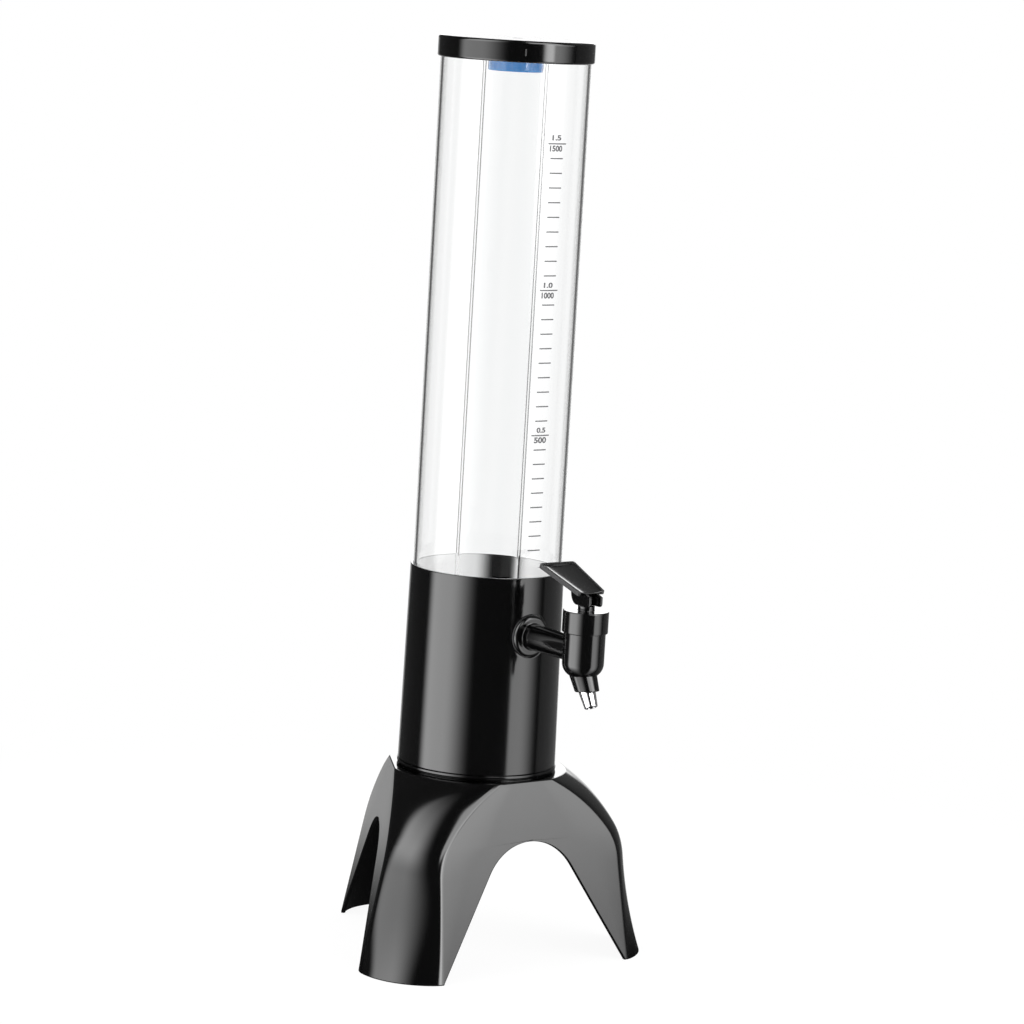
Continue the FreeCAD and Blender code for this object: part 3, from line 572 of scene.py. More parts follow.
def spun(grid, degrees):
    """A copy of a grid turned about the tower's axis."""
    a = math.radians(degrees)
    matrix = np.array([[math.cos(a), math.sin(a), 0], [-math.sin(a), math.cos(a), 0], [0, 0, 1]])
    return grid @ matrix


def screw_ring(turn, bore, outside, bottom, top):
    """A ring about the screw that holds the base to the housing towards one leg."""
    a = math.radians(turn)
    place = (SCREW_PITCH * math.cos(a), SCREW_PITCH * math.sin(a), 0)
    return turned(ring(bore, outside, bottom, top), place, segments=48)


def under_deck(turn):
    """A screw boss and a rib under the deck, towards one leg."""
    bore, outside, depth = SCREW_BOSS
    top = DECK_Z - WALL
    boss = screw_ring(turn, bore, outside, top - depth, top + 1)
    z = np.linspace(top - RIB_DEPTH, top + 1, 6)[:, None]
    end = leg_chord(z, WALL / 2)
    reach = RIB_START + (end - RIB_START) * np.array([0, 0, 1, 1, 0])
    side = RIB_T / 2 * np.array([-1, 1, 1, -1, -1])
    rib = np.stack([reach, side + 0 * z, z + 0 * reach], -1)
    lower, upper = rib[0, [[0, 1], [3, 2]]], rib[-1, [[0, 1], [3, 2]]]
    return [boss] + [(spun(sheet, turn), False) for sheet in (rib, lower, upper)]


def tripod_base():
    sheets = []
    for turn in LEG_TURNS:
        for sheet in half_leg():
            sheets += [(spun(sheet, turn), False), (spun(sheet * [1, -1, 1], turn), False)]
        sheets += under_deck(turn)
    return stand_in("tripod_base", sheets, GLOSS, BASE_EDGE)


# -------- collar, housing and tube
COLLAR_STEP = 1.7
COLLAR_BEAD_T = 2.2
COLLAR_WIDTH = 17.5
HOUSING_WALL = 3.0
HOUSING_DRAFT = 1.5
TUBE_WALL = 2.2
TUBE_PLAY = 0.06          # from the clear tube to the housing's rim
SEAL_WIDTH = 2.14         # of the flat ring under the clear tube
CUP_DROP = 4.0            # from the ice tube's end to the cup's floor
SPOT_R = 13.2
SHANK_HOLE_R = 6.1
PAD_R = 11.2
PAD_DEPTH = 3.5
POST_R = 4.5
POST_HEIGHT = 14.0
POST_BORE = 2.0


def base_collar():
    """A hub ring with a rounded bead under the housing's edge."""
    outer, bottom, top = wide("base_collar"), low("base_collar"), high("base_collar")
    neck, bore = outer - COLLAR_STEP, outer - COLLAR_WIDTH
    bead = top - COLLAR_BEAD_T
    outline = rounded([(bore, bottom, 0.4), (neck, bottom, 0.3), (neck, bead, 0.2), (outer, bead, 0.95),
                       (outer, top, 0.3), (bore, top, 0.4)])
    return stand_in("base_collar", [turned(outline)], GLOSS)


def housing_radius(z):
    """The housing's outside, which widens evenly downwards."""
    bottom, top = low("housing"), high("housing")
    return wide("housing") - HOUSING_DRAFT * (z - bottom) / (top - bottom)


FLARE_SINK = 0.02         # how far a boss's foot lies inside the wall


def flare(small_r, fillet, wall_radius, centre_z, reach, steps=8, segments=96):
    """A round boss along -Y that grows out of an upright round wall through a fillet.

    At the angle t round the boss and the share s of the fillet, the radius is small_r + f (1 - sin s) and
    the boss stands f (1 - cos s) out from the wall, whose face at x is y = -sqrt(wall_radius^2 - x^2).
    """
    turn = np.linspace(0, 2 * math.pi, segments, endpoint=False)
    share = np.linspace(0, math.pi / 2, steps)[:, None]
    radius = small_r + fillet * (1 - np.sin(share))
    x, z = radius * np.cos(turn), centre_z + radius * np.sin(turn)
    wall = np.sqrt(wall_radius ** 2 - x ** 2) - FLARE_SINK
    foot = np.stack([x, -wall - fillet * (1 - np.cos(share)), z], -1)
    x, z = small_r * np.cos(turn), centre_z + small_r * np.sin(turn)
    end = np.stack([x, 0 * x - reach, z], -1)[None]
    return np.concatenate([foot, end])


SPOT_BAND = 16.0          # half height of the band of wall that the spot face lies in
SPOT_COLUMNS = 11
SPOT_EDGE = 0.3


def spot_face(wall, centre_z, face_y):
    """The patch of the housing's wall round the spot face, and the round flat itself, in rings.

    wall is the patch's own grid. Its rim is followed inwards to a circle of radius R on the wall
    y = -sqrt(r(z)^2 - x^2), then over a rounded edge and down to the flat.
    """
    rim = np.concatenate([wall[0, :-1], wall[:-1, -1], wall[-1, :0:-1], wall[:0:-1, 0]])
    x, z = rim[:, 0], rim[:, 2] - centre_z
    spread = np.hypot(x, z)
    x, z = x / spread, z / spread

    def on_wall(radius):
        return np.sqrt(housing_radius(centre_z + z * radius) ** 2 - (x * radius) ** 2)

    edge = np.minimum(SPOT_EDGE, (on_wall(SPOT_R) - face_y) * 0.45)
    rings = [(spread + (SPOT_R + edge - spread) * share, None) for share in np.linspace(0, 1, 6) ** 0.8]
    for turn in np.radians([30, 60, 90]):
        radius = SPOT_R + edge * (1 - math.sin(turn))
        rings.append((radius, on_wall(radius) - edge * (1 - math.cos(turn))))
    for radius in (SPOT_R, SPOT_R - 0.5, SHANK_HOLE_R):
        rings.append((radius + 0 * x, face_y + 0 * x))
    points = []
    for radius, out in rings:
        out = on_wall(radius) if out is None else out
        points.append(np.stack([x * radius, -out, centre_z + z * radius], -1))
    return np.stack(points)


def housing():
    """A deep cup for the tube over a hollow skirt, with a round spot face for the tap and a pad inside it."""
    bottom, top, rim = low("housing"), high("housing"), wide("container_tube") + TUBE_PLAY
    foot, bore = wide("housing"), wide("tube_seal") - SEAL_WIDTH
    floor, ledge = low("ice_tube") - CUP_DROP, low("tube_seal")
    roof = floor - HOUSING_WALL
    band_z = np.linspace(SHANK_Z - SPOT_BAND, SHANK_Z + SPOT_BAND, 2 * SPOT_COLUMNS + 1)
    under = rounded([(0, roof, 0), (housing_radius(roof) - HOUSING_WALL, roof, 1.0),
                     (foot - HOUSING_WALL, bottom, 0.2), (foot, bottom, 0.8),
                     (housing_radius(band_z[0]), band_z[0], 0)], closed=False)
    over = rounded([(housing_radius(band_z[-1]), band_z[-1], 0), (foot - HOUSING_DRAFT, top, 0.45),
                    (rim, top, 0.35), (rim, ledge, 0.1), (bore, ledge, 0.2), (bore, floor, 2.0),
                    (0, floor, 0)], closed=False)
    segments = 192
    band = turned(np.stack([housing_radius(band_z), band_z], -1), segments=segments)[0]
    front = segments // 2
    round_back = np.arange(front + SPOT_COLUMNS, front + segments - SPOT_COLUMNS + 1) % segments
    patch = band[:, front - SPOT_COLUMNS:front + SPOT_COLUMNS + 1]
    spot = spot_face(patch, SHANK_Z, FACE_Y)
    pad = turned(rounded([(0, 0, 0), (PAD_R, 0, 0.4), (PAD_R, PAD_DEPTH, 0)], closed=False),
                 (0, high("inner_gasket", 1), SHANK_Z), (0, -1, 0), 96)
    sheets = [turned(under, segments=segments), turned(over, segments=segments), (band[:, round_back], False),
              (spot, True), pad]
    sheets += [screw_ring(turn, POST_BORE, POST_R, bottom, bottom + POST_HEIGHT) for turn in LEG_TURNS]
    return stand_in("housing", sheets, GLOSS)


def container_tube():
    outer = wide("container_tube")
    outline = ring(outer - TUBE_WALL, outer, low("container_tube"), high("container_tube"), 0.25)
    return stand_in("container_tube", [turned(outline, segments=192)], CLEAR)


# the inner radius of each upright seal, as a share of its outer one
SEAL_BORES = {"tube_seal": 0.9525, "lid_seal": 0.9335, "connector_seal": 0.909, "stem_seal": 0.4435}


def seal_ring(node):
    """A flat upright-axis seal ring."""
    outer = wide(node)
    centre = [(low(node, axis) + high(node, axis)) / 2 for axis in (0, 1)]
    outline = ring(outer * SEAL_BORES[node], outer, low(node), high(node), 0.15)
    return stand_in(node, [turned(outline, (*centre, 0))], RUBBER)


# -------- lid, connector and ice tube
LID_WALL = 1.55
LID_TOP = 2.5
LID_EDGE_R = 2.0
LID_RIM_R = 1.2
LID_SCREW_HEAD = (1.7, 3.1, 1.4)   # hole, head's seat and its depth
LID_MARK_TURN = math.radians(-30.3)   # from the tap
LID_MARK = (5.9, 0.55, 2.1, 0.28)  # height over the rim, radius, half its length, how far it stands out
SCREW_SHANK_R = 1.5
SCREW_CROSS = (1.9, 0.34, 0.7)     # length and half width of an arm, and the depth
PLUG_STEP = 1.09                   # from the connector's thread in to its skirt
PLUG_WALL = 2.0
PLUG_ROOF = 3.0
PLUG_POST_R = 4.0
ICE_WALL = 2.0
ICE_END_R = 5.0


def lid():
    """A flat cap with a short skirt, a countersunk hole in its middle and a small moulded mark on its side."""
    outer, bottom, top = wide("lid"), low("lid"), high("lid")
    inner, under = outer - LID_WALL, top - LID_TOP
    hole, seat, sink = LID_SCREW_HEAD
    outline = rounded([(hole, under, 0.1), (hole, top - sink, 0), (seat, top, 0.15), (outer, top, LID_EDGE_R),
                       (outer, bottom, LID_RIM_R), (inner, bottom, 0.3), (inner, under, 0.6)], steps=8)
    rise, radius, half, proud = LID_MARK
    stud = rounded([(0, rise - half, 0), (radius, rise - half, 0.3), (radius, rise + half, 0.3),
                    (0, rise + half, 0)], closed=False)
    reach = outer + proud - radius
    place = (reach * math.sin(LID_MARK_TURN), -reach * math.cos(LID_MARK_TURN), bottom)
    mark = turned(stud, place, segments=32)
    return stand_in("lid", [turned(outline, segments=192), mark], GLOSS)


def ice_tube_connector():
    """A hollow plug with a wide thread over a narrower skirt, and a screw post in its middle."""
    node = "ice_tube_connector"
    outer, bottom, top = wide(node), low(node), high(node)
    skirt, step_z, roof = outer - PLUG_STEP, low("lid") + 1.0, top - PLUG_ROOF
    inner, post, post_z = skirt - PLUG_WALL, PLUG_POST_R, low("lid_screw") - 1.0
    outline = rounded([(SCREW_SHANK_R, top, 0), (outer, top, 0.3), (outer, step_z, 0.2), (skirt, step_z, 0.2),
                       (skirt, bottom, 0.6), (inner, bottom, 0.4), (inner, roof, 0.8), (post, roof, 0.6),
                       (post, post_z, 0.3), (SCREW_SHANK_R, post_z, 0)])
    return stand_in(node, [turned(outline)], BLUE)


def cross_head(radius, top, segments=96, rows=40):
    """The flat top of a screw's head, sunk where x or y is inside an arm of the cross."""
    length, half, depth = SCREW_CROSS
    blur = 0.12
    turn = np.linspace(0, 2 * math.pi, segments, endpoint=False)
    r = np.linspace(0, radius, rows)[:, None]
    x, y = r * np.cos(turn), r * np.sin(turn)
    arm = np.clip((half - np.minimum(abs(x), abs(y))) / blur + 0.5, 0, 1)
    arm = arm * np.clip((length - r) / blur + 0.5, 0, 1)
    return np.stack([x, y, top - depth * arm], -1)


def lid_screw():
    node = "lid_screw"
    head, bottom, top = wide(node), low(node), high(node)
    sink = high("lid") - LID_SCREW_HEAD[2]
    outline = np.array([(head, top), (head, top - 0.15), (SCREW_SHANK_R, sink), (SCREW_SHANK_R, bottom),
                        (0, bottom)])
    return stand_in(node, [(cross_head(head, top), True), turned(outline, segments=96)], STEEL)


def ice_tube():
    """A long tube with a closed, rounded lower end."""
    outer, bottom, top = wide("ice_tube"), low("ice_tube"), high("ice_tube")
    inner = outer - ICE_WALL
    outline = rounded([(0, bottom, 0), (outer, bottom, ICE_END_R), (outer, top, 0.25), (inner, top, 0.25),
                       (inner, bottom + ICE_WALL, ICE_END_R - ICE_WALL), (0, bottom + ICE_WALL, 0)],
                      closed=False, steps=10)
    return stand_in("ice_tube", [turned(outline, segments=160)], THIN_CLEAR)


# -------- printed level scale
SCALE_LOW = 235.2         # height of the scale's zero
SCALE_STEP = 8.632        # from mark to mark
STEP_ML = 50
SCALE_MARKS = range(2, 31)
SCALE_LINES = (10, 20, 30)   # the marks that are longer lines with numbers
MARK_HALF = 4.5
LINE_HALF = 6.5
MARK_T = 0.36             # half the height of a mark
INK_T = 0.05
PRINT_R = wide("container_tube") + 0.01
FIGURES = (("over", 2.7, 3.2, 6.5), ("under", -3.0, 3.6, 9.0))   # place by the line, gap, height, width
FIGURE_WEIGHT = 0.038     # how much the letters' strokes are thickened


def printed_bar(z, half_width, steps=9):
    """A thin bar of ink bent round the tube, where x is at the angle x / radius. Both its ends are closed."""
    x = half_width * np.concatenate([[-1], np.linspace(-1, 1, steps), [1]])
    a = x / PRINT_R
    out = np.stack([np.sin(a), -np.cos(a), 0 * a], -1)
    up = np.array([0, 0, MARK_T])
    section = np.stack([out * INK_T + up, out * INK_T - up, 0 * out - up, 0 * out + up, out * INK_T + up], 1)
    section[[0, -1]] = 0
    return (PRINT_R * out + [0, 0, z])[:, None] + section, False


def scale_marks():
    """Short marks for each 50 ml and a longer line for each 500 ml, on the tube over the tap."""
    bars = []
    for number in SCALE_MARKS:
        half = LINE_HALF if number in SCALE_LINES else MARK_HALF
        bars.append(printed_bar(SCALE_LOW + SCALE_STEP * number, half))
    return piece("scale_marks", bars, INK, "tower")


def scale_figure(text, z, height, width):
    """A printed number: flat letters with x along the tube's round and y up it."""
    curve = bpy.data.curves.new("figure", "FONT")
    curve.body = text
    curve.align_x, curve.align_y = "CENTER", "CENTER"
    curve.extrude = 0.5
    curve.offset = FIGURE_WEIGHT
    letters = bpy.data.objects.new("figure", curve)
    mesh = bpy.data.meshes.new_from_object(letters)
    points = np.zeros(len(mesh.vertices) * 3)
    mesh.vertices.foreach_get("co", points)
    points = points.reshape(-1, 3)
    spread = np.ptp(points, 0)
    points = (points - points.mean(0)) * [width / spread[0], height / spread[1], INK_T]
    a = points[:, 0] / PRINT_R
    out = PRINT_R + INK_T / 2 + points[:, 2]
    placed = np.stack([out * np.sin(a), -out * np.cos(a), z + points[:, 1]], -1) * MM
    mesh.vertices.foreach_set("co", placed.ravel())
    bpy.data.objects.remove(letters)
    bpy.data.curves.remove(curve)
    return mesh


def scale_figures():
    """Litres over each long line and millilitres under it."""
    for number in SCALE_LINES:
        millilitres = STEP_ML * number
        texts = (f"{millilitres / 1000:.1f}", str(millilitres))
        for text, (place, gap, height, width) in zip(texts, FIGURES):
            mesh = scale_figure(text, SCALE_LOW + SCALE_STEP * number + gap, height, width)
            piece(f"scale_figure_{millilitres}_{place}", mesh, INK, "tower")


# -------- tap
GASKET_T = 1.2
FLANGE_R = 12.4
FLANGE_T = 2.4
FLANGE_EDGE = 1.9
TAIL_R = 6.0
SHANK_R = 7.8
SHANK_FILLET = 1.1
SHANK_SINK = 4.0          # how far the tail's block reaches into the shank
BARREL_R = 12.4
BARREL_DROP = 15.4
BARREL_END_R = 9.0
BARREL_FLOOR = 7.0
NECK_R = 10.4
NECK_HEIGHT = 6.5
THREAD_PLAY = 0.06        # from a thread to the bore over it
CHAMBER_R = 7.5
BONNET_ROOF = 3.0
HEEL_R = 5.0
HEEL_HEIGHT = 2.8
STEM_HOLE_R = 3.06


def tap_body():
    """The barrel with its rounded end, the shank growing out of it, the flange and the threaded tail."""
    bottom, shoulder = SHANK_Z - BARREL_DROP, low("tap_bonnet")
    floor, brim = bottom + BARREL_FLOOR, shoulder + NECK_HEIGHT
    barrel = rounded([(0, bottom, 0), (BARREL_R, bottom, BARREL_END_R), (BARREL_R, shoulder, 0.35),
                      (NECK_R, shoulder, 0), (NECK_R, brim, 0.3), (CHAMBER_R, brim, 0.3),
                      (CHAMBER_R, floor, 0), (0, floor, 0)], closed=False, steps=16)
    flange_y = FACE_Y + GASKET_T
    reach = -TAP_Y - flange_y - FLANGE_T
    shank = flare(SHANK_R, SHANK_FILLET, BARREL_R, SHANK_Z, reach)
    shank = shank * [1, -1, 1] + [0, TAP_Y, 0]
    tail_y = high("tap_body", 1)
    back, front = -flange_y, -flange_y - FLANGE_T
    flange = rounded([(0, tail_y, 0), (TAIL_R, tail_y, 0.5), (TAIL_R, back, 0), (FLANGE_R, back, 0.3),
                      (FLANGE_R, front, FLANGE_EDGE), (SHANK_R, front, 0.8), (SHANK_R, front - SHANK_SINK, 0),
                      (0, front - SHANK_SINK, 0)], closed=False)
    sheets = [turned(barrel, (0, TAP_Y, 0)), (shank, True), turned(flange, (0, 0, SHANK_Z), (0, 1, 0))]
    return stand_in("tap_body", sheets, GLOSS)


def gasket(node):
    """A flat ring on the shank's axis."""
    outline = ring(TAIL_R + THREAD_PLAY, wide(node), low(node, 1), high(node, 1), 0.45)
    return stand_in(node, [turned(outline, (0, 0, SHANK_Z), (0, 1, 0))], RUBBER)


def tap_bonnet():
    """The screwed cap with softened edges and the round heel pad that the cam bears on."""
    node = "tap_bonnet"
    outer, bottom, heel_z = wide(node), low(node), high(node)
    top = heel_z - HEEL_HEIGHT
    neck, brim, under = NECK_R + THREAD_PLAY, bottom + NECK_HEIGHT, top - BONNET_ROOF
    outline = rounded([(neck, bottom, 0.2), (outer, bottom, 0.6), (outer, top, 0.7), (HEEL_R, top, 0.4),
                       (HEEL_R, heel_z, 0.3), (STEM_HOLE_R, heel_z, 0.1), (STEM_HOLE_R, under, 0.1),
                       (CHAMBER_R, under, 0.1), (CHAMBER_R, brim, 0), (neck, brim, 0)])
    return stand_in(node, [turned(outline, (0, TAP_Y, 0))], GLOSS)


SPOUT_LEAN = math.radians(28.5)
SPOUT_CUT = math.radians(9)   # the lean of the plane that the spout ends on
SPOUT_SINK = 3.0
SPOUT_R = 8.1
SPOUT_END_R = 7.1
SPOUT_L = 8.8
OUTLET_R = 3.9
TIP_R = 5.0
TIP_END_R = 3.9
TIP_L = 10.0
TIP_WALL = 1.0
TIP_SINK = 4.0


def on_spout(outline, skew=0.0, segments=96):
    """An outline of (radius, distance down the spout's leaning axis), turned about that axis.

    Where a row has a skew, it goes down by skew r cos t, so that it lies on a plane tilted to the axis.
    """
    axis = np.array([0, -math.sin(SPOUT_LEAN), -math.cos(SPOUT_LEAN)])
    start = np.array([0, TAP_Y, SHANK_Z - BARREL_DROP + SPOUT_SINK])
    points, wrap = turned(outline, start, axis, segments)
    turn = np.linspace(0, 2 * math.pi, segments, endpoint=False)
    drop = (skew + 0 * outline[:, 0])[:, None] * outline[:, :1] * np.cos(turn)
    return points + drop[..., None] * axis, wrap


def tap_spout():
    """The tapered black spout, which ends nearly level, with a socket for the bright tip."""
    end, socket = SPOUT_SINK + SPOUT_L, TIP_R + 0.02
    outline = rounded([(OUTLET_R, 0, 0), (SPOUT_R, 0, 0), (SPOUT_END_R, end, 0.8), (socket, end, 0.25),
                       (socket, end - TIP_SINK, 0), (OUTLET_R, end - TIP_SINK, 0)])
    along = outline[:, 1]
    skew = np.where(along < 0.1, math.tan(SPOUT_LEAN), 0.0)
    skew = np.where(along > end - 2, math.tan(SPOUT_LEAN - SPOUT_CUT), skew)
    return stand_in("tap_spout", [on_spout(outline, skew)], GLOSS)


def spout_tip():
    """The thin-walled outlet tube: a plain pressed length, then a taper to its open end."""
    start, end = SPOUT_SINK + SPOUT_L - TIP_SINK, SPOUT_SINK + SPOUT_L + TIP_L
    outline = rounded([(TIP_R, start, 0.2), (TIP_R, start + TIP_SINK, 0), (TIP_END_R, end, 0.4),
                       (TIP_END_R - TIP_WALL, end, 0.4), (TIP_R - TIP_WALL, start + TIP_SINK, 0),
                       (TIP_R - TIP_WALL, start, 0.2)])
    return stand_in("spout_tip", [on_spout(outline)], PLATE)


# -------- lever
PIN = np.array([0, TAP_Y, (low("lever_pin") + high("lever_pin")) / 2])
PADDLE_LEAN = math.radians(18.5)
PADDLE_CLEAR = 3.95
PADDLE_T = 2.7
PADDLE_FRONT = 2.2
PADDLE_BACK = 34.6
HALF_FRONT = 9.7
HALF_BACK = 13.2
PADDLE_CORNER = 2.0
DISH_DEPTH = 1.1
DISH_RIM = 1.6
DISH_LIP = 3.0
DISH_ROUND = 0.8          # the power that makes the dish's bottom round
DISH_STEP = 1.4           # how far along the paddle the dish takes to rise to the lip
CAM_REST = 3.4
CAM_RATE = 3.8
CAM_SWEEP = math.radians(92)
HEAD_FRONT = 9.1
HEAD_CORNER = 2.0
CHEEKS = ((-4.9, -3.4), (3.4, 4.9))


def paddle_sheets():
    """The thumb paddle: along s and across t, its top drops by a dish that ends at a raised lip.

    The drop is depth (1 - (t / inside)^2)^round, times a smooth step down to nothing at the lip.
    """
    lip, corner = PADDLE_BACK - DISH_LIP, PADDLE_BACK - PADDLE_CORNER
    s = np.concatenate([np.linspace(-PADDLE_FRONT, lip - 1.5, 16), np.linspace(lip - 1.3, corner, 12),
                        corner + PADDLE_CORNER * np.sin(np.linspace(0.12, math.pi / 2, 8))])[:, None]
    half = HALF_FRONT + (HALF_BACK - HALF_FRONT) * (s + PADDLE_FRONT) / (PADDLE_BACK + PADDLE_FRONT)
    past = np.maximum(s - corner, 0)
    half = half - (PADDLE_CORNER - np.sqrt(np.maximum(PADDLE_CORNER ** 2 - past ** 2, 0)))
    t = half * np.linspace(-1, 1, 33)
    inside = np.clip(1 - (t / (half - DISH_RIM)) ** 2, 0, 1)
    ahead = np.clip((lip - s) / DISH_STEP + 0.5, 0, 1)
    drop = DISH_DEPTH * inside ** DISH_ROUND * ahead ** 2 * (3 - 2 * ahead)
    top = np.stack([t, s + 0 * t, PADDLE_CLEAR + PADDLE_T - drop], -1)
    under = np.stack([t, s + 0 * t, PADDLE_CLEAR + 0 * t], -1)
    rim = np.concatenate([top, under[:, ::-1]], 1)
    front, back = np.stack([top[0], under[0]]), np.stack([top[-1], under[-1]])
    turn = np.array([[1, 0, 0], [0, math.cos(PADDLE_LEAN), math.sin(PADDLE_LEAN)],
                     [0, -math.sin(PADDLE_LEAN), math.cos(PADDLE_LEAN)]])
    return [(rim @ turn + PIN, True), (front @ turn + PIN, False), (back @ turn + PIN, False)]


def cheek_outline():
    """The cam head from the side, about the pin: an upright front, a level sole and an involute back.

    The cam's distance from the pin grows by CAM_RATE for each radian that it sweeps.
    """
    sweep = np.linspace(0, CAM_SWEEP, 24)
    reach = CAM_REST + CAM_RATE * sweep
    back = np.stack([reach * np.sin(sweep) + CAM_RATE * np.cos(sweep),
                     CAM_RATE * np.sin(sweep) - reach * np.cos(sweep)], -1)
    roof = PADDLE_CLEAR + PADDLE_T / 2

    def under_paddle(y):
        return (roof + y * math.sin(PADDLE_LEAN)) / math.cos(PADDLE_LEAN)

    nose = rounded([(-HEAD_FRONT, under_paddle(-HEAD_FRONT), 0), (-HEAD_FRONT, -CAM_REST, HEAD_CORNER),
                    (back[0, 0], -CAM_REST, 0)], closed=False)
    top = np.array([[back[-1, 0], under_paddle(back[-1, 0])], [-HEAD_FRONT, under_paddle(-HEAD_FRONT)]])
    return np.concatenate([nose, back[1:], top])


def cheek(outline, start, end):
    """A flat cheek from x = start to x = end. Its two faces are fans about the pin, where all of it is seen."""
    layers = ((0, start), (1, start), (1, end), (0, end))
    return np.stack([np.insert(outline * size, 0, x, axis=1) for size, x in layers]) + PIN, False


def tap_lever():
    outline = cheek_outline()
    cheeks = [cheek(outline, start, end) for start, end in CHEEKS]
    return stand_in("tap_lever", paddle_sheets() + cheeks, PADDLE, 0.45)


# -------- nodes that keep their own mesh
def dress(node, finish):
    """Gives one of the frame's own nodes a finish."""
    mesh = frame["nodes"][node].data
    mesh.materials.clear()
    mesh.materials.append(finish)


KEPT = {"base_screws": STEEL, "lock_nut": SATIN, "valve_plug": RUBBER, "valve_stem": SATIN,
        "valve_spring": STEEL, "lever_pin": SATIN}

MOULDS = (tripod_base, base_collar, housing, container_tube, lid, ice_tube_connector, lid_screw, ice_tube,
          tap_body, tap_bonnet, tap_spout, spout_tip, tap_lever, scale_marks, scale_figures)

for make in MOULDS:
    make()
for seal in SEAL_BORES:
    seal_ring(seal)
for seal in ("outer_gasket", "inner_gasket"):
    gasket(seal)
for kept_node, kept_finish in KEPT.items():
    dress(kept_node, kept_finish)


# -------- camera, floor and light
CAMERA_PLACE = Vector((-1.3983, -1.8569, 0.6156))
CAMERA_PITCH = math.radians(8.47)       # down
CAMERA_ROLL = math.radians(3.31)
CAMERA_LENS = 136.83


def studio_camera():
    data = bpy.data.cameras.new("camera")
    data.lens = CAMERA_LENS
    data.sensor_width = 36.0
    data.clip_end = 50.0
    camera = bpy.data.objects.new("camera", data)
    bpy.context.scene.collection.objects.link(camera)
    camera.matrix_world = (Matrix.Translation(CAMERA_PLACE) @ Matrix.Rotation(-CAMERA_HEADING, 4, "Z")
                           @ Matrix.Rotation(math.pi / 2 - CAMERA_PITCH, 4, "X")
                           @ Matrix.Rotation(CAMERA_ROLL, 4, "Z"))
    bpy.context.scene.camera = camera


def ray_kinds(tree):
    """The camera, glossy and transmission flags of the ray that sees a shader."""
    return [add_node(tree, "ShaderNodeLightPath", output=name)
            for name in ("Is Camera Ray", "Is Glossy Ray", "Is Transmission Ray")]


def light_banks(turn, rise):
    """Soft light banks by direction, as glossy finishes see them: on the left, on the right and behind.

    turn is the angle round from the front of the studio, to the right, and rise is the height over the
    horizon, both in degrees.
    """
    level = 1 - 0.4 * rise.step(-5.5, 5) * rise.under(17, 28)
    left = turn.step(-87, 16) * turn.under(-32, 44) * rise.under(62, 50) * level * 6.0
    right = turn.step(45, 6) * turn.under(78, 34) * rise.under(30, 20) * 3.6
    panel = turn.band(58, 92, 6) * rise.step(2.4, 4) * rise.under(12, 8) * 3.4
    low_edge = turn.band(41, 57, 6) * rise.band(-4, 20, 5) * 7
    high_edge = turn.band(20, 75, 10) * rise.band(22, 62, 8) * 6
    dim = turn.step(98, 4) * 0.22 * level + turn.under(-98, 10) * 0.04
    dim = dim + turn.under(-157, 6) * rise.under(0, 8) * 0.5
    back = (turn.step(165, 6) + turn.under(-172, 6)) * rise.under(22, 6) * (1.0 + 2.2 * rise.step(5, 4))
    front = left + right + low_edge + high_edge
    return front, front + panel + dim + back + 0.03


def clear_edges(turn, rise, x, y):
    """What darkens the clear walls' edges: two flags behind for a level look, and slats all round."""
    off = 180 - turn.math("ABSOLUTE", turn)
    level_look = rise.band(-11.5, 1, 2)
    flags = off.band(15, 31, 10) * level_look * 0.9
    slats = 1 - x.math("COSINE", x.math("ARCTAN2", x, y) * 8).step(-0.5, 0.5)
    return flags + slats * (1 - level_look * off.under(48, 8)) * 0.45


def studio_world():
    """A white surround to the camera, light banks to glossy finishes, and even light to the rest.

    Rays that have gone through a clear wall see white, apart from what darkens its edges.
    """
    world = bpy.data.worlds.new("studio")
    tree = empty_tree(world)
    x, y, z = coordinates(tree, "Generated")
    right, away = from_the_front(x, y)
    turn = x.math("ARCTAN2", right, away * -1) * math.degrees(1)
    rise = x.math("ARCSINE", z) * math.degrees(1)
    front, banks = light_banks(turn, rise)
    camera, glossy, through = ray_kinds(tree)
    seen = glossy * banks + (1 - glossy) * (banks * 0.25 + 0.5)
    seen_through = 1 - clear_edges(turn, rise, x, y) + front * rise.step(-5, 4) * 0.3
    seen = through * seen_through + (1 - through) * seen
    seen = camera + (1 - camera) * seen
    shader = add_node(tree, "ShaderNodeBackground", {}, {"Color": (1, 1, 1, 1), "Strength": seen})
    out = tree.nodes.new("ShaderNodeOutputWorld")
    tree.links.new(shader.socket, out.inputs["Surface"])
    world.cycles.sampling_method = "NONE"
    bpy.context.scene.world = world


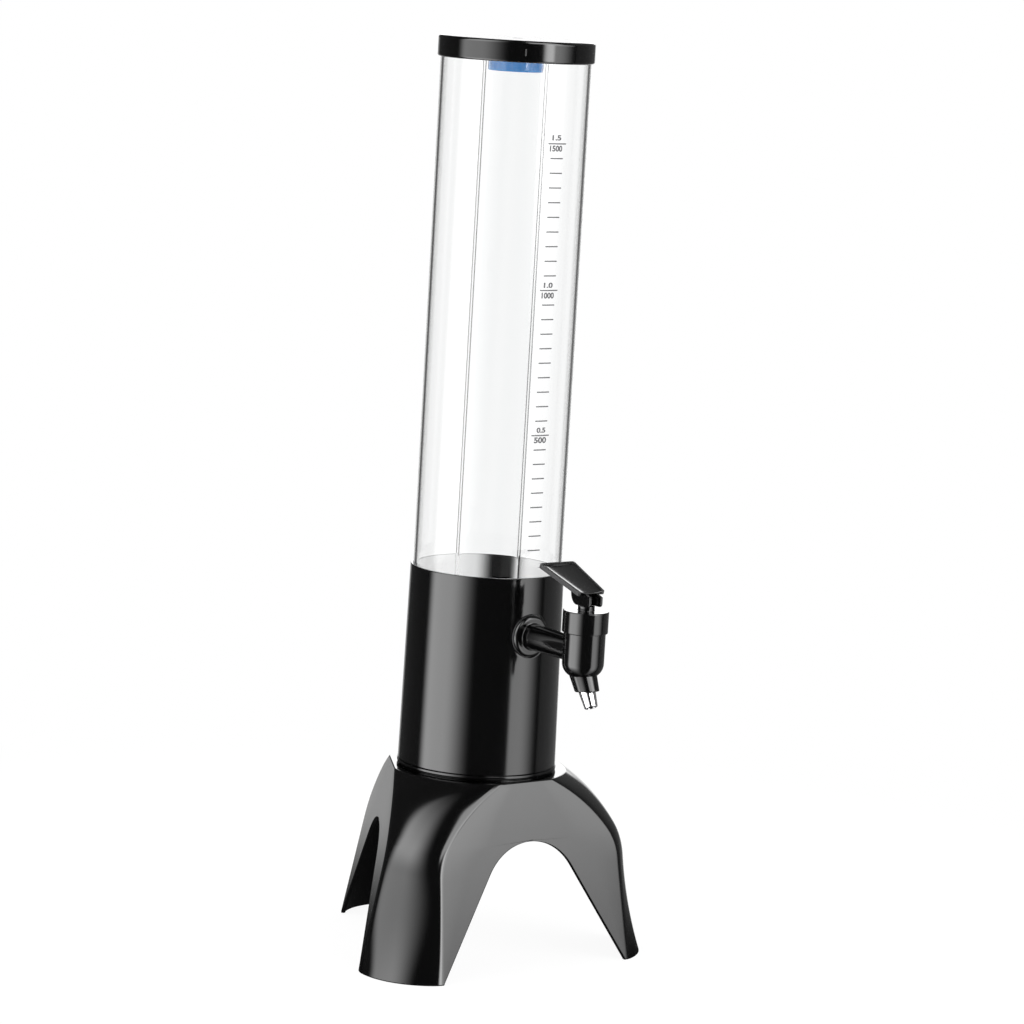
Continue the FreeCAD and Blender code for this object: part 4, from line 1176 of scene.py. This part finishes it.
FLOOR_HALF = 6000.0
FLOOR_GLOW = 0.93         # the part of the floor's white that shadows don't dim
FLOOR_LIT = 0.12          # the part that they do
FLOOR_SHINE = 0.02        # how bright the floor close to the tower is in reflections
SHADOW_REACH = (0.45, 0.3)   # metres from the tower's axis, and blur: where the floor turns evenly white
SHINE_REACH = (0.27, 0.4)    # the same, where reflections of the floor give way to the studio's


def floor_finish():
    """A white sweep: white to the camera with a faint contact shadow, and seen in gloss only close by."""
    material = bpy.data.materials.new("white_floor")
    tree = empty_tree(material)
    glossy, through = ray_kinds(tree)[1:]
    place = add_node(tree, "ShaderNodeTexCoord", output="Object")
    distance = add_node(tree, "ShaderNodeVectorMath", {"operation": "LENGTH"}, {0: place}, output="Value")
    lit = add_node(tree, "ShaderNodeBsdfDiffuse", {}, {"Color": (FLOOR_LIT, FLOOR_LIT, FLOOR_LIT, 1)})

    def light(strength):
        return add_node(tree, "ShaderNodeEmission", {}, {"Color": (1, 1, 1, 1), "Strength": strength})

    def mix(share, first, second):
        return add_node(tree, "ShaderNodeMixShader", {}, {0: share, 1: first, 2: second})

    sweep = add_node(tree, "ShaderNodeAddShader", {}, {0: lit, 1: light(FLOOR_GLOW)})
    sweep = mix(distance.step(*SHADOW_REACH), sweep, light(1.0))
    open_air = add_node(tree, "ShaderNodeBsdfTransparent", {}, {})
    gloss = mix(distance.step(*SHINE_REACH), light(FLOOR_SHINE), open_air)
    seen = mix(glossy, sweep, gloss)
    seen = mix(through, seen, open_air)
    out = tree.nodes.new("ShaderNodeOutputMaterial")
    tree.links.new(seen.socket, out.inputs["Surface"])
    return material


def studio_floor():
    corners = np.array([[(-1, -1, 0), (1, -1, 0)], [(-1, 1, 0), (1, 1, 0)]], float) * FLOOR_HALF
    mesh = mesh_of("floor", [(corners, False)])
    mesh.materials.append(floor_finish())
    floor = bpy.data.objects.new("floor", mesh)
    bpy.context.scene.collection.objects.link(floor)


studio_camera()
studio_world()
studio_floor()
bpy.context.scene.view_settings.view_transform = "Standard"
